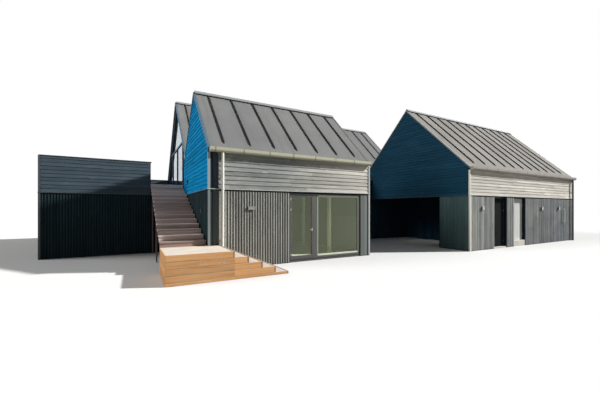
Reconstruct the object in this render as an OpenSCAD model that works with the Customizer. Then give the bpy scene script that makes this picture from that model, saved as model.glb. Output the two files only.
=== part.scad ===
// Beach house: three gabled blocks of black and grey timber round a small yard.
// A low wing stands in front of the hall and shares a valley with it.
// The annex crosses the hall's far end and holds a covered recess.
// A raised terrace with parapets lies before the hall's glazed gable,
// and an outside stair leads up to it along the wing.
// X runs along the ridges, -Y is the front, Z is up, all in millimetres.
// Every block is laid out from the wing's near corner; site() moves that
// corner so that the origin lies on the ground under the middle of the house.

/* [Blocks] */
// Length of the wing along its ridge
wing_l = 6430; // [5600:10:8200]
// Width of the wing across its gable
wing_w = 5160; // [4300:10:6200]
// Width of the hall across its gable
hall_w = 8820; // [7350:10:10600]
// Length of the yard between the wing and the annex
yard_l = 4745; // [3600:10:6000]
// Length of the annex along its ridge
annex_l = 10560; // [9900:10:13000]
// Width of the annex across its gable
annex_w = 7150; // [6400:10:8600]
// How far the annex reaches in behind the hall's near wall
annex_lap = 640; // [560:10:800]
// How far the hall runs on behind the annex's yard gable
hall_lap = 3475; // [3420:10:4200]
// How far the hall's glazed gable stands back from the wing's gable
hall_in = 150; // [50:10:190]

/* [Heights] */
// Eaves, at the roof's surface over the wall's outer face
eave_z = 3840; // [3600:10:4400]
// How much every roof rises over a metre of run
roof_rise = 980; // [780:10:1110]
// Drip flashing between the lower and the upper cladding
drip_z = 2520; // [2500:5:2600]
// Top of the terrace deck and of the hall's upper floor
deck_z = 2990; // [2900:10:3100]
// Top of the parapets round the terrace
parapet_z = 3950; // [3800:10:4200]
// Head of the doors, the glazing and the recess
head_z = 2480; // [2350:5:2495]

/* [Walls and roofs] */
// Thickness of the house walls
wall_t = 250; // [200:10:300]
// Upright thickness of the roof's boarding and felt
felt_tz = 90; // [70:5:110]
// Upright thickness of the whole roof
roof_tz = 340; // [250:10:420]
// Overhang of the roof past the long walls
eave_out = 40; // [30:5:60]
// Thickness of the terrace parapets
parapet_t = 150; // [120:10:200]
// Thickness of the floors on the ground
floor_t = 100; // [80:5:120]
// Thickness of the upper floor and of the terrace deck
deck_t = 100; // [80:5:200]

/* [Roof trim] */
// Distance from one roof batten to the next
batten_pitch = 893; // [600:1:1200]
// From the wing's or the hall's west verge to the first batten
batten_first = 510; // [300:10:600]
// From the annex's yard verge to its first batten
annex_batten_first = 650; // [300:10:700]
// Width of a batten
batten_w = 45; // [35:1:70]
// Upright height of a batten over the felt, which the ridge caps lie on
batten_tz = 62; // [40:1:80]
// Free felt between a batten's foot and the eaves, measured flat
batten_foot = 175; // [140:5:300]
// Half width of the ridge caps and valley sheets, measured flat
cap_w = 120; // [90:5:150]
// Upright thickness of the ridge caps and valley sheets
cap_tz = 24; // [12:1:40]
// Upright thickness of the strips along the verges
verge_tz = 20; // [12:1:35]
// Overall width of a gutter
gutter_w = 150; // [120:5:170]
// Overall height of a gutter
gutter_h = 155; // [130:5:180]
// Thickness of the gutter sheet
gutter_t = 4; // [3:1:6]
// Distance from one gutter bracket to the next
bracket_pitch = 900; // [600:10:1200]
// Diameter of the downpipes
pipe_d = 85; // [75:1:110]

/* [Wing glazing] */
// From the wing's west corner to the glazing
glazing_x = 2790; // [2200:10:2900]
// Width of the glazing, door and window together
glazing_w = 3200; // [2900:10:3300]
// Width of the glazed door leaf
glass_door_w = 929; // [800:1:1000]
// Thickness of the post between the door and the window
post_w = 141; // [80:1:180]
// Width of the frame round the glazing
frame_w = 40; // [35:1:60]
// Width of the slim sash that holds the fixed pane
sash_w = 24; // [15:1:40]
// Depth of the frames from outside to inside
frame_d = 120; // [90:5:150]
// Thickness of a door leaf
leaf_t = 60; // [50:1:70]
// Width of the glazed leaf's stiles and top rail
stile_w = 55; // [45:1:80]
// Height of the glazed leaf's bottom rail
kick_h = 95; // [80:5:200]
// Thickness of the sealed glass
glass_t = 24; // [20:1:36]

/* [Annex openings] */
// Depth of the covered recess
recess_d = 3140; // [2600:10:3160]
// Length of the closed panel beside the recess
panel_l = 1530; // [1250:10:1700]
// From the annex's near corner to the first doorway
door_1_x = 1940; // [1700:10:2000]
// Width of the first doorway
door_1_w = 1060; // [950:10:1100]
// Width of the wall between the doorways
door_pier = 710; // [600:10:850]
// Width of the second doorway
door_2_w = 1110; // [950:10:1150]
// Height of the first doorway's sill
sill_1_h = 60; // [40:5:100]
// Height of the second doorway's sill
sill_2_h = 290; // [150:5:300]
// How deep the boarded doors stand in the wall
door_set = 120; // [60:5:130]

/* [Terrace and stair] */
// Length of the terrace before the hall's gable
terrace_l = 5120; // [4300:10:6100]
// Width of the stair
stair_w = 1315; // [1100:5:1500]
// Number of risers from the landing to the deck
risers = 14; // [12:1:15]
// Flat length of the whole flight
flight_l = 4960; // [4600:10:5050]
// Top of the landing at the foot of the stair
landing_z = 770; // [700:5:800]
// How far the landing comes forward of the wing
landing_y = 1550; // [1300:10:1700]
// How far the landing reaches along the wing's front
landing_x = 350; // [300:10:450]
// Number of garden steps down from the landing
garden_steps_n = 4; // [3:1:4]
// Going of one garden step
garden_going = 405; // [350:5:420]
// Thickness of the sleepers that edge the landing and the garden steps
sleeper_t = 50; // [40:5:80]
// Thickness of the stair treads
tread_t = 45; // [35:1:60]
// Thickness of the stair risers and of the timber edges
board_t = 30; // [22:1:40]

/* [Hidden] */
$fn = 48;

slope = roof_rise/1000;

// Cladding stands this far off the walls at its trim, and stair and landing keep clear of it
drip_out = 60;
drip_h = 22;
trim_out = 45;
trim_w = 28;
clad_gap = 65;
// Clearance where a board butts against a stepped neighbour
seat_play = 0.3;

// Blocks in plan, from the wing's near west corner
hall_x = hall_in;
hall_y = wing_w;
hall_back = hall_y + hall_w;
annex_x = wing_l + yard_l;
annex_end = annex_x + annex_l;
annex_back = hall_y + annex_lap;
annex_y = annex_back - annex_w;
hall_l = annex_x + hall_lap;
wing_ridge = wing_w/2;
hall_ridge = hall_y + hall_w/2;
annex_ridge = annex_y + annex_w/2;
valley_y = hall_y + annex_lap/2;

// Hinges: each pin stands off the leaf's face and carries two knuckles
hinge_gap = 6;
strike_gap = 9;
pin_off = 12;
pin_r = 6;
pin_play = 0.3;
knuckle_r = 9;
knuckle_h = 45;
plate_y = 4;
plate_l = 30;
hinge_z = [215, 1825, 2205];
boarded_hinge_z = [250, 1750];

// Lever handles
lever_z = 1150;
lever_in = 35;
lever_l = 110;
lever_h = 18;
lever_t = 14;
lever_out = 55;
rose_w = 24;
rose_h = 120;
rose_t = 6;

// Wing glazing
frame_y = 20;
glass_y = 40;
sill_drop = 20;
pane_rail = 60;
sash_low = floor_t + pane_rail;
sash_y = 20;
sash_d = 64;
glazing_top = head_z - drip_h;
post_x = glazing_x + frame_w + hinge_gap + glass_door_w + strike_gap;
pane_x = post_x + post_w;
glazing_end = glazing_x + glazing_w;
glass_door_low = floor_t + sill_drop + hinge_gap;
glass_door_top = glazing_top - frame_w - hinge_gap;

// Two posts inside the wing, in a row across it
post_row_x = 5150;
inner_post_y = [990, 3200];
inner_post_w = 120;

// Glazed gable of the hall
gable_frame_x = hall_x + 60;
gable_frame_w = 80;
mullion_w = 90;
mullion_step = hall_w/4;
transom_z = 5440;
// Set in by the frame from the roof's underside, square to the slope
gable_light_eave = eave_z - felt_tz + slope*(wall_t + gable_frame_w) - gable_frame_w*sqrt(1 + slope*slope);

// Annex openings
door_1_at = annex_x + door_1_x;
door_2_at = door_1_at + door_1_w + door_pier;
doors_end = door_2_at + door_2_w;
leaf_y = annex_y + door_set;
panel_y = annex_y + panel_l;
recess_x = annex_x + recess_d;
store_t = 200;
ceiling_t = 60;

// Terrace, stair, landing and garden steps
terrace_fwd = 50;
terrace_y = hall_y - terrace_fwd;
coping_out = 30;
coping_h = 30;
stair_x = -clad_gap - stair_w;
flight_y = terrace_y - flight_l;
going = flight_l/(risers - 1);
rise = (deck_z - landing_z)/risers;
nosing = 20;
string_t = 45;
string_in = 40;
string_drop = 360;
string_foot = 160;
post_d = 95;
mid_post = 2230;
post_at = [board_t, mid_post, flight_l - post_d - 2*drip_out];
step_in = 10;
// The pale fill of the landing and the steps lies this far under their edges
fill_drop = 10;
// The lowest garden step stands less than half a rise over the ground
garden_rise = landing_z/(garden_steps_n + 0.45);

// Battens, verge strips and roof drainage
batten_last = 300;
batten_slant = 60;
ridge_batten_w = 85;
verge_in = 25;
verge_lip = 60;
gutter_drop = 20;
gutter_top = eave_z - gutter_drop;
gutter_gap = drip_out + 5;
strap_t = 4;
strap_w = 25;
strap_first = 150;
strap_last = 60;
pipe_in = 395;
pipe_far = 290;
clip_w = 30;
clip_h = 25;
clip_low = 350;
clip_high = 400;

// Wall lamps, from each block's near corner, and the rail
lamp_z = 1945;
lamp_at = [925, 6550, 8580];
wing_lamp_at = 1360;
lamp_w = 180;
lamp_h = 150;
lamp_d = 60;
wing_lamp_w = 240;
wing_lamp_h = 110;
wing_lamp_d = 48;
lamp_stem = 32;
step_lamps = [[895, 1840], [3900, 3060]];
step_lamp_w = 100;
step_lamp_h = 140;
step_lamp_d = 50;
rail_x = 9165;
rail_low = 1130;
rail_top = 1940;
rail_r = 20;
rail_out = 110;
rail_arm_r = 12;
rail_arm_in = 30;

// The box round the whole house
low_x = -terrace_l - drip_out;
high_x = annex_end + drip_out;
low_y = min(-landing_y, annex_y - eave_out - gutter_w - strap_t);
high_y = hall_back + eave_out + gutter_w + strap_t;

module site() translate([-(low_x + high_x)/2, -(low_y + high_y)/2, 0]) children();

// Draws a Y-Z outline along X
module across(x0, x1) translate([x0, 0, 0]) rotate([90, 0, 90]) linear_extrude(x1 - x0) children();
module block(x0, x1, y0, y1, z0, z1) translate([x0, y0, z0]) cube([x1 - x0, y1 - y0, z1 - z0]);

// Height of a roof at y, over an eave at eave_y that rises towards side (1 or -1)
function roof_z(y, eave_y, side) = eave_z + slope*side*(y - eave_y);

// A band of the roof between two depths under its surface
module roof_band(eave_y, side, y0, y1, top, bottom, x0, x1)
    across(x0, x1) polygon([
        [y0, roof_z(y0, eave_y, side) - top], [y1, roof_z(y1, eave_y, side) - top],
        [y1, roof_z(y1, eave_y, side) - bottom], [y0, roof_z(y0, eave_y, side) - bottom]
    ]);

// A gable wall whose top lies under the boarding
module gable(x0, y0, w)
    across(x0, x0 + wall_t) polygon([
        [y0, 0], [y0 + w, 0], [y0 + w, eave_z - felt_tz],
        [y0 + w/2, eave_z + slope*w/2 - felt_tz], [y0, eave_z - felt_tz]
    ]);

// A long wall with its top cut to the slope
module long_wall(x0, x1, eave_y, side)
    across(x0, x1) polygon([
        [eave_y, 0], [eave_y + side*wall_t, 0],
        [eave_y + side*wall_t, eave_z - felt_tz + slope*wall_t], [eave_y, eave_z - felt_tz]
    ]);

// One roof slope: boarding over the gables, rafters between them
module roof_slope(eave_y, ridge_y, x0, x1, side)
    union() {
        roof_band(eave_y, side, eave_y - side*eave_out, ridge_y, 0, felt_tz, x0, x1);
        roof_band(eave_y, side, eave_y + side*wall_t, ridge_y, felt_tz, roof_tz, x0 + wall_t, x1 - wall_t);
    }

// Wing

module wing_gables() color("steelblue") site() {
    gable(0, 0, wing_w);
    gable(wing_l - wall_t, 0, wing_w);
}

module wing_front_walls() color("dimgray") site() {
    long_wall(wall_t, glazing_x, 0, 1);
    long_wall(glazing_end, wing_l - wall_t, 0, 1);
}

module wing_front_head() color("darkgray") site()
    difference() {
        long_wall(glazing_x, glazing_end, 0, 1);
        block(glazing_x - 1, glazing_end + 1, -1, wall_t + 1, -1, head_z - drip_h);
    }

module wing_roof_front() color("gray") site() roof_slope(0, wing_ridge, 0, wing_l, 1);

module wing_roof_back() color("gray") site() union() {
    roof_band(wing_w, -1, wing_ridge, wing_w, 0, felt_tz, 0, wing_l);
    roof_band(wing_w, -1, wing_ridge, wing_w, felt_tz, roof_tz, wall_t, wing_l - wall_t);
}

// Wing glazing: one frame holds the hinged door and the fixed pane

module wing_glazing_frame() color("dimgray") site() difference() {
    union() {
        block(glazing_x, glazing_end, frame_y, frame_y + frame_d, floor_t, glazing_top);
        block(glazing_x, glazing_end, frame_y, wall_t, 0, floor_t);
        translate([glazing_x + frame_w + hinge_gap/2, frame_y - pin_off, 0])
            for (z = hinge_z) frame_knuckle(z);
    }
    block(glazing_x + frame_w, post_x, frame_y - plate_l, wall_t, floor_t + sill_drop, glazing_top - frame_w);
    difference() {
        block(pane_x, glazing_end - frame_w, frame_y - 1, wall_t, sash_low, glazing_top - frame_w);
        pane_sash();
    }
}

// A slim ring round the fixed pane
module pane_sash() difference() {
    block(pane_x - 1, glazing_end - frame_w + 1, frame_y + sash_y, frame_y + sash_y + sash_d,
        sash_low - 1, glazing_top - frame_w + 1);
    block(pane_x + sash_w, glazing_end - frame_w - sash_w, frame_y, frame_y + sash_y + sash_d + 1,
        sash_low + sash_w, glazing_top - frame_w - sash_w);
}

// Hinge halves stand on the pin, which is at the local origin
module frame_knuckle(z) translate([0, 0, z]) union() {
    cylinder(r = knuckle_r, h = knuckle_h);
    cylinder(r = pin_r, h = 2*knuckle_h);
    translate([-plate_l, plate_y, 0]) cube([plate_l - hinge_gap/2, pin_off - plate_y, knuckle_h]);
    translate([-hinge_gap, 0, 0]) cube([hinge_gap, knuckle_r - 1, knuckle_h]);
}

module leaf_knuckle(z) translate([0, 0, z + knuckle_h + pin_play]) difference() {
    union() {
        cylinder(r = knuckle_r, h = knuckle_h - pin_play);
        translate([hinge_gap/2, plate_y, 0]) cube([plate_l, pin_off - plate_y, knuckle_h - pin_play]);
        cube([hinge_gap, knuckle_r - 1, knuckle_h - pin_play]);
    }
    translate([0, 0, -1]) cylinder(r = pin_r + pin_play, h = knuckle_h + 2);
}

// A leaf and its hinges: x grows from the pin, the outside is towards -Y
module door_leaf(w, z0, z1, zs) union() {
    translate([hinge_gap/2, pin_off, z0]) cube([w, leaf_t, z1 - z0]);
    for (z = zs) leaf_knuckle(z);
    lever(w, lever_z);
}

module lever(w, z) translate([w - lever_in, pin_off, z]) {
    translate([-rose_w/2, -rose_t, -rose_h/2]) cube([rose_w, rose_t + 1, rose_h]);
    rotate([90, 0, 0]) cylinder(d = lever_h, h = lever_out - 1);
    translate([-lever_l, -lever_out, -lever_h/2]) cube([lever_l + lever_h/2, lever_t, lever_h]);
}

module at_glass_door() translate([glazing_x + frame_w + hinge_gap/2, frame_y - pin_off, 0]) children();

module glass_door_light(y0, y1)
    block(hinge_gap/2 + stile_w, hinge_gap/2 + glass_door_w - stile_w, y0, y1,
        glass_door_low + kick_h, glass_door_top - stile_w);

module wing_door() color("slategray") site() at_glass_door() difference() {
    door_leaf(glass_door_w, glass_door_low, glass_door_top, hinge_z);
    glass_door_light(pin_off - 1, pin_off + leaf_t + 1);
}

module wing_door_glass() color("lightcyan") site() at_glass_door()
    glass_door_light(pin_off + (leaf_t - glass_t)/2, pin_off + (leaf_t + glass_t)/2);

// Posts that carry the wing's roof inside, cut to its slopes
module inner_posts() color("ivory") site()
    for (y = inner_post_y) {
        eave_y = y < wing_ridge ? 0 : wing_w;
        side = y < wing_ridge ? 1 : -1;
        near = y - inner_post_w/2;
        far = y + inner_post_w/2;
        across(post_row_x - inner_post_w/2, post_row_x + inner_post_w/2) polygon([
            [near, floor_t], [far, floor_t],
            [far, roof_z(far, eave_y, side) - roof_tz], [near, roof_z(near, eave_y, side) - roof_tz]
        ]);
    }

// Hall

module hall_side_walls() color("dimgray") site() {
    union() {
        long_wall(hall_x, hall_l, hall_y, 1);
        across(annex_x + wall_t, hall_l) polygon([
            [hall_y, eave_z - felt_tz - 1], [hall_y + wall_t, eave_z - felt_tz + slope*wall_t - 1],
            [hall_y + wall_t, roof_z(hall_y + wall_t, hall_y, 1) - felt_tz],
            [valley_y, roof_z(valley_y, hall_y, 1) - felt_tz],
            [hall_y, roof_z(hall_y, annex_back, -1) - felt_tz]
        ]);
    }
    long_wall(hall_x, hall_l, hall_back, -1);
}

module hall_end(x0, x1, z0) across(x0, x1) polygon([
    [hall_y + wall_t, z0], [hall_back - wall_t, z0],
    [hall_back - wall_t, eave_z - felt_tz + slope*wall_t],
    [hall_ridge, roof_z(hall_ridge, hall_y, 1) - felt_tz],
    [hall_y + wall_t, eave_z - felt_tz + slope*wall_t]
]);

module hall_east_gable() color("dimgray") site() hall_end(hall_l - wall_t, hall_l, 0);

module hall_west_base() color("dimgray") site()
    block(hall_x, hall_x + wall_t, hall_y + wall_t, hall_back - wall_t, 0, deck_z);

// The panes of the glazed gable: an outline set in by the frame, cut by the bars
module gable_light(x0, x1) difference() {
    across(x0, x1) polygon([
        [hall_y + wall_t + gable_frame_w, deck_z + gable_frame_w],
        [hall_back - wall_t - gable_frame_w, deck_z + gable_frame_w],
        [hall_back - wall_t - gable_frame_w, gable_light_eave],
        [hall_ridge, gable_light_eave + slope*(hall_w/2 - wall_t - gable_frame_w)],
        [hall_y + wall_t + gable_frame_w, gable_light_eave]
    ]);
    for (i = [-1:1])
        block(x0 - 1, x1 + 1, hall_ridge + i*mullion_step - mullion_w/2,
            hall_ridge + i*mullion_step + mullion_w/2, deck_z,
            i == 0 ? transom_z : transom_z + mullion_w);
    block(x0 - 1, x1 + 1, hall_y, hall_back, transom_z - mullion_w/2, transom_z + mullion_w/2);
}

module hall_gable_frame() color("darkslategray") site() difference() {
    hall_end(gable_frame_x, gable_frame_x + frame_d, deck_z);
    gable_light(gable_frame_x - 1, gable_frame_x + frame_d + 1);
}

module hall_upper_floor() color("tan") site()
    block(hall_x + wall_t, hall_l - wall_t, hall_y + wall_t, hall_back - wall_t, deck_z - 2*deck_t, deck_z);

module hall_roof_front() color("gray") site() union() {
    roof_band(hall_y, 1, hall_y, hall_ridge, 0, felt_tz, hall_x, wing_l);
    roof_band(hall_y, 1, hall_y - eave_out, hall_ridge, 0, felt_tz, wing_l, annex_x);
    roof_band(hall_y, 1, valley_y, hall_ridge, 0, felt_tz, annex_x, hall_l);
    roof_band(hall_y, 1, hall_y + wall_t, hall_ridge, felt_tz, roof_tz, hall_x + wall_t, hall_l - wall_t);
}

module hall_roof_back() color("gray") site() roof_slope(hall_back, hall_ridge, hall_x, hall_l, -1);

module window_glass() color("lightcyan") site() {
    block(pane_x + sash_w, glazing_end - frame_w - sash_w, frame_y + glass_y, frame_y + glass_y + glass_t,
        sash_low + sash_w, glazing_top - frame_w - sash_w);
    gable_light(gable_frame_x + glass_y, gable_frame_x + glass_y + glass_t);
}

// Annex

module annex_gables() color("midnightblue") site() {
    across(annex_x, annex_x + wall_t) polygon([
        [annex_y, drip_z], [hall_y, drip_z], [hall_y, eave_z - felt_tz],
        [valley_y, roof_z(valley_y, hall_y, 1) - felt_tz],
        [annex_ridge, roof_z(annex_ridge, annex_y, 1) - felt_tz], [annex_y, eave_z - felt_tz]
    ]);
    gable(annex_end - wall_t, annex_y, annex_w);
}

module annex_side_panel() color("darkslategray") site()
    block(annex_x, annex_x + wall_t, annex_y, panel_y, 0, drip_z);

module annex_front_walls() color("dimgray") site() {
    long_wall(annex_x + wall_t, door_1_at, annex_y, 1);
    block(door_1_at + door_1_w, door_2_at, annex_y, annex_y + wall_t, 0, head_z);
    long_wall(doors_end, annex_end - wall_t, annex_y, 1);
}

module annex_front_head() color("darkgray") site() difference() {
    long_wall(door_1_at, doors_end, annex_y, 1);
    block(door_1_at - 1, doors_end + 1, annex_y - 1, annex_y + wall_t + 1, -1, head_z);
}

module annex_far_wall() color("dimgray") site()
    long_wall(hall_l, annex_end - wall_t, annex_back, -1);

module annex_sills() color("gainsboro") site() {
    block(door_1_at, door_1_at + door_1_w, annex_y, annex_y + wall_t, 0, sill_1_h);
    block(door_2_at, doors_end, annex_y, annex_y + wall_t, 0, sill_2_h);
}

// A frame on three sides, with its hinge knuckles
module boarded_frame(x0, x1, z0) difference() {
    union() {
        block(x0, x1, leaf_y, leaf_y + frame_d, z0, head_z);
        at_boarded_door(x1) for (z = boarded_hinge_z) frame_knuckle(z + z0);
    }
    block(x0 + frame_w, x1 - frame_w, leaf_y - plate_l, leaf_y + frame_d + 1, z0 - 1, head_z - frame_w);
}

// Both boarded doors hang at their right jamb
module at_boarded_door(x1)
    translate([x1 - frame_w - hinge_gap/2, leaf_y - pin_off, 0]) mirror([1, 0, 0]) children();

module boarded_leaf(w, z0) {
    leaf_w = w - 2*frame_w - hinge_gap - strike_gap;
    door_leaf(leaf_w, z0 + hinge_gap, head_z - frame_w - hinge_gap, [for (z = boarded_hinge_z) z + z0]);
}

module annex_door_frames() color("dimgray") site() {
    boarded_frame(door_1_at, door_1_at + door_1_w, sill_1_h);
    boarded_frame(door_2_at, doors_end, sill_2_h);
}

module annex_dark_door() color("black") site()
    at_boarded_door(door_1_at + door_1_w) boarded_leaf(door_1_w, sill_1_h);

module annex_grey_door() color("silver") site()
    at_boarded_door(doors_end) boarded_leaf(door_2_w, sill_2_h);

module annex_roof_front() color("darkgray") site() roof_slope(annex_y, annex_ridge, annex_x, annex_end, 1);

module annex_roof_back() color("darkgray") site() union() {
    roof_band(annex_back, -1, annex_ridge, valley_y, 0, felt_tz, annex_x, hall_l);
    roof_band(annex_back, -1, annex_ridge, annex_back + eave_out, 0, felt_tz, hall_l, annex_end);
    roof_band(annex_back, -1, annex_ridge, hall_y, felt_tz, roof_tz, annex_x + wall_t, hall_l);
    roof_band(annex_back, -1, annex_ridge, annex_back - wall_t, felt_tz, roof_tz, hall_l, annex_end - wall_t);
}

// Covered recess

module recess_back_wall() color("darkslategray") site()
    block(recess_x, recess_x + wall_t, panel_y - store_t, hall_y, 0, drip_z);

module recess_side_wall() color("darkslategray") site()
    block(annex_x + wall_t, recess_x, panel_y - store_t, panel_y, 0, drip_z);

module recess_ceiling() color("darkslategray") site()
    block(annex_x + wall_t, recess_x + wall_t, panel_y - store_t, hall_y, drip_z, drip_z + ceiling_t);

module ground_floors() color("gainsboro") site() {
    block(wall_t, wing_l - wall_t, wall_t, wing_w, 0, floor_t);
    linear_extrude(floor_t) union() {
        translate([recess_x + wall_t, annex_y + wall_t])
            square([annex_end - recess_x - 2*wall_t, hall_y - annex_y - wall_t]);
        translate([hall_l, annex_y + wall_t])
            square([annex_end - hall_l - wall_t, annex_w - 2*wall_t]);
        translate([annex_x + wall_t, annex_y + wall_t])
            square([recess_x + wall_t - annex_x, panel_l - store_t - wall_t]);
    }
}

// Terrace

module terrace_deck() color("rosybrown") site() translate([0, 0, deck_z - deck_t])
    linear_extrude(deck_t) union() {
        translate([-terrace_l + parapet_t, terrace_y + parapet_t])
            square([terrace_l - parapet_t + hall_x, hall_back - terrace_y - 2*parapet_t]);
        translate([stair_x, terrace_y]) square([-stair_x, parapet_t + 1]);
        translate([-1, hall_y]) square([hall_x + 1, parapet_t]);
    }

module terrace_front_wall() color("dimgray") site() union() {
    block(-terrace_l, stair_x, terrace_y, terrace_y + parapet_t, 0, parapet_z - coping_h);
    block(stair_x, 0, terrace_y, terrace_y + parapet_t, 0, deck_z - deck_t);
    block(-1, hall_x, hall_y, terrace_y + parapet_t, 0, deck_z - deck_t);
}

module terrace_west_wall() color("dimgray") site()
    block(-terrace_l, -terrace_l + parapet_t, terrace_y + parapet_t, hall_back - parapet_t,
        0, parapet_z - coping_h);

module terrace_far_wall() color("dimgray") site()
    block(-terrace_l, hall_x, hall_back - parapet_t, hall_back, 0, parapet_z - coping_h);

// Stair from the landing to the deck: treads and risers on three cut strings

module stair_treads() color("rosybrown") site()
    for (i = [1:risers - 1])
        block(stair_x, -clad_gap, flight_y + (i - 1)*going - nosing, flight_y + i*going - seat_play,
            landing_z + i*rise - tread_t, landing_z + i*rise);

// Each riser stands on the strings behind one tread and under the next; the last one meets the deck
module stair_risers() color("rosybrown") site() {
    for (i = [1:risers - 1])
        block(stair_x, -clad_gap, flight_y + (i - 1)*going, flight_y + (i - 1)*going + board_t,
            landing_z + (i - 1)*rise - (i > 1 ? tread_t : 0), landing_z + i*rise - tread_t - seat_play);
    block(stair_x, -clad_gap, terrace_y - board_t, terrace_y, deck_z - rise + seat_play, deck_z);
}

// A cut string with three posts that run down to the ground
module stringer() union() {
    back = board_t + seat_play;
    polygon([
        [flight_y + back, landing_z],
        for (i = [1:risers - 1]) each [
            [flight_y + (i - 1)*going + back, landing_z + i*rise - tread_t],
            [flight_y + i*going + (i < risers - 1 ? back : 0), landing_z + i*rise - tread_t]
        ],
        [terrace_y, deck_z - string_drop],
        [flight_y + string_foot, landing_z - string_drop + rise],
        [flight_y, landing_z - tread_t],
        [flight_y, landing_z]
    ]);
    for (at = post_at) translate([flight_y + at, 0])
        square([post_d, landing_z + max(0, (at - string_foot)*rise/going)]);
}

module stair_stringers() color("sienna") site()
    for (x = [stair_x + string_in, (stair_x - clad_gap - string_t)/2, -clad_gap - string_in - string_t])
        across(x, x + string_t) stringer();

// Landing: a pale fill between sleepers on edge that stand on the ground

module landing_plan() difference() {
    translate([stair_x, -landing_y]) square([landing_x - stair_x, landing_y + flight_y]);
    translate([-clad_gap, -clad_gap]) square([landing_x + wing_l, wing_w]);
}

module landing() color("peru") site() difference() {
    linear_extrude(landing_z) landing_plan();
    translate([0, 0, landing_z - fill_drop]) linear_extrude(fill_drop + 1) offset(delta = -sleeper_t)
        landing_plan();
    translate([0, 0, -1]) linear_extrude(landing_z - tread_t + 1) offset(delta = -sleeper_t) landing_plan();
}

// Each step keeps a sleeper at its nose and one along its front
module garden_steps() color("peru") site() union()
    for (i = [1:garden_steps_n]) {
        x0 = landing_x + (i - 1)*garden_going;
        x1 = x0 + garden_going;
        top = landing_z - i*garden_rise;
        block(x0, x1 - sleeper_t, -landing_y + step_in + sleeper_t, -clad_gap, 0, top - fill_drop);
        block(x0, x1, -landing_y + step_in, -landing_y + step_in + sleeper_t, 0, top);
        block(x1 - sleeper_t, x1, -landing_y + step_in, -clad_gap, 0, top);
    }

// Roof trim

// A batten from its slanted foot up to the ridge
module batten(x, eave_y, ridge_y, side, foot_y) across(x - batten_w/2, x + batten_w/2) polygon([
    [foot_y, roof_z(foot_y, eave_y, side)], [ridge_y, roof_z(ridge_y, eave_y, side)],
    [ridge_y, roof_z(ridge_y, eave_y, side) + batten_tz],
    [foot_y + side*batten_slant, roof_z(foot_y + side*batten_slant, eave_y, side) + batten_tz]
]);

function batten_xs(x0, x1, first) = [for (x = [x0 + first:batten_pitch:x1 - batten_last]) x];

// A strip folded along y: over a ridge when side is -1, in a valley when side is 1
module fold(x0, x1, y, z, side, w, t) across(x0, x1) polygon([
    [y - w, z + side*slope*w], [y, z], [y + w, z + side*slope*w],
    [y + w, z + side*slope*w + t], [y, z + t], [y - w, z + side*slope*w + t]
]);

module ridge_batten(x0, x1, y, z)
    fold(x0 + verge_in, x1 - verge_in, y, z, -1, ridge_batten_w, batten_tz);

// The battens of each roof meet the one along its ridge
module roof_battens() color("black") site() {
    union() {
        ridge_batten(0, wing_l, wing_ridge, roof_z(wing_ridge, 0, 1));
        for (x = batten_xs(0, wing_l, batten_first)) {
            batten(x, 0, wing_ridge, 1, batten_foot);
            batten(x, wing_w, wing_ridge, -1, wing_w - batten_foot);
        }
    }
    union() {
        ridge_batten(hall_x, hall_l, hall_ridge, roof_z(hall_ridge, hall_y, 1));
        for (x = batten_xs(hall_x, hall_l, batten_first)) {
            batten(x, hall_y, hall_ridge, 1, (x + batten_w > annex_x ? valley_y : hall_y) + batten_foot);
            batten(x, hall_back, hall_ridge, -1, hall_back - batten_foot);
        }
    }
    union() {
        ridge_batten(annex_x, annex_end, annex_ridge, roof_z(annex_ridge, annex_y, 1));
        for (x = batten_xs(annex_x, annex_end, annex_batten_first)) {
            batten(x, annex_y, annex_ridge, 1, annex_y + batten_foot);
            batten(x, annex_back, annex_ridge, -1,
                (x - batten_w < hall_l ? valley_y : annex_back) - batten_foot);
        }
    }
}

module coping_plan(out) difference() {
    translate([-terrace_l - out, terrace_y - out])
        square([terrace_l + hall_x + out, hall_back - terrace_y + 2*out]);
    translate([-terrace_l + parapet_t + out, terrace_y + parapet_t + out])
        square([terrace_l + hall_x, hall_back - terrace_y - 2*parapet_t - 2*out]);
    translate([stair_x + out, terrace_y - out - 1]) square([hall_x - stair_x, parapet_t + 2*out + 2]);
}

module roof_flashings() color("dimgray") site() {
    fold(0, wing_l, wing_ridge, roof_z(wing_ridge, 0, 1) + batten_tz, -1, cap_w, cap_tz);
    fold(hall_x, hall_l, hall_ridge, roof_z(hall_ridge, hall_y, 1) + batten_tz, -1, cap_w, cap_tz);
    fold(annex_x, annex_end, annex_ridge, roof_z(annex_ridge, annex_y, 1) + batten_tz, -1, cap_w, cap_tz);
    fold(hall_x, wing_l, hall_y, eave_z, 1, cap_w, cap_tz);
    fold(annex_x, hall_l, valley_y, roof_z(valley_y, hall_y, 1), 1, cap_w, cap_tz);
    translate([0, 0, parapet_z - coping_h]) linear_extrude(coping_h) coping_plan(coping_out);
}

// A deep round-bottomed gutter with closed ends; its back lies on the roof's edge

module gutter_outline(set) {
    r = gutter_w/2 - set;
    translate([0, -gutter_h + gutter_w/2]) circle(r);
    translate([-r, -gutter_h + gutter_w/2]) square([2*r, gutter_h - gutter_w/2 + (set > 0 ? 1 : 0)]);
}

module gutter(x0, x1) union() {
    difference() {
        across(x0, x1) gutter_outline(0);
        across(x0 + gutter_t, x1 - gutter_t) gutter_outline(gutter_t);
    }
    for (x = [x0 + strap_first:bracket_pitch:x1 - strap_last]) across(x, x + strap_w) difference() {
        gutter_outline(-strap_t);
        gutter_outline(gutter_t/2);
        translate([-gutter_w, 0]) square([2*gutter_w, 10]);
        translate([gutter_w/2, -gutter_h]) square([2*strap_t, 2*gutter_h]);
    }
}

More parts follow.
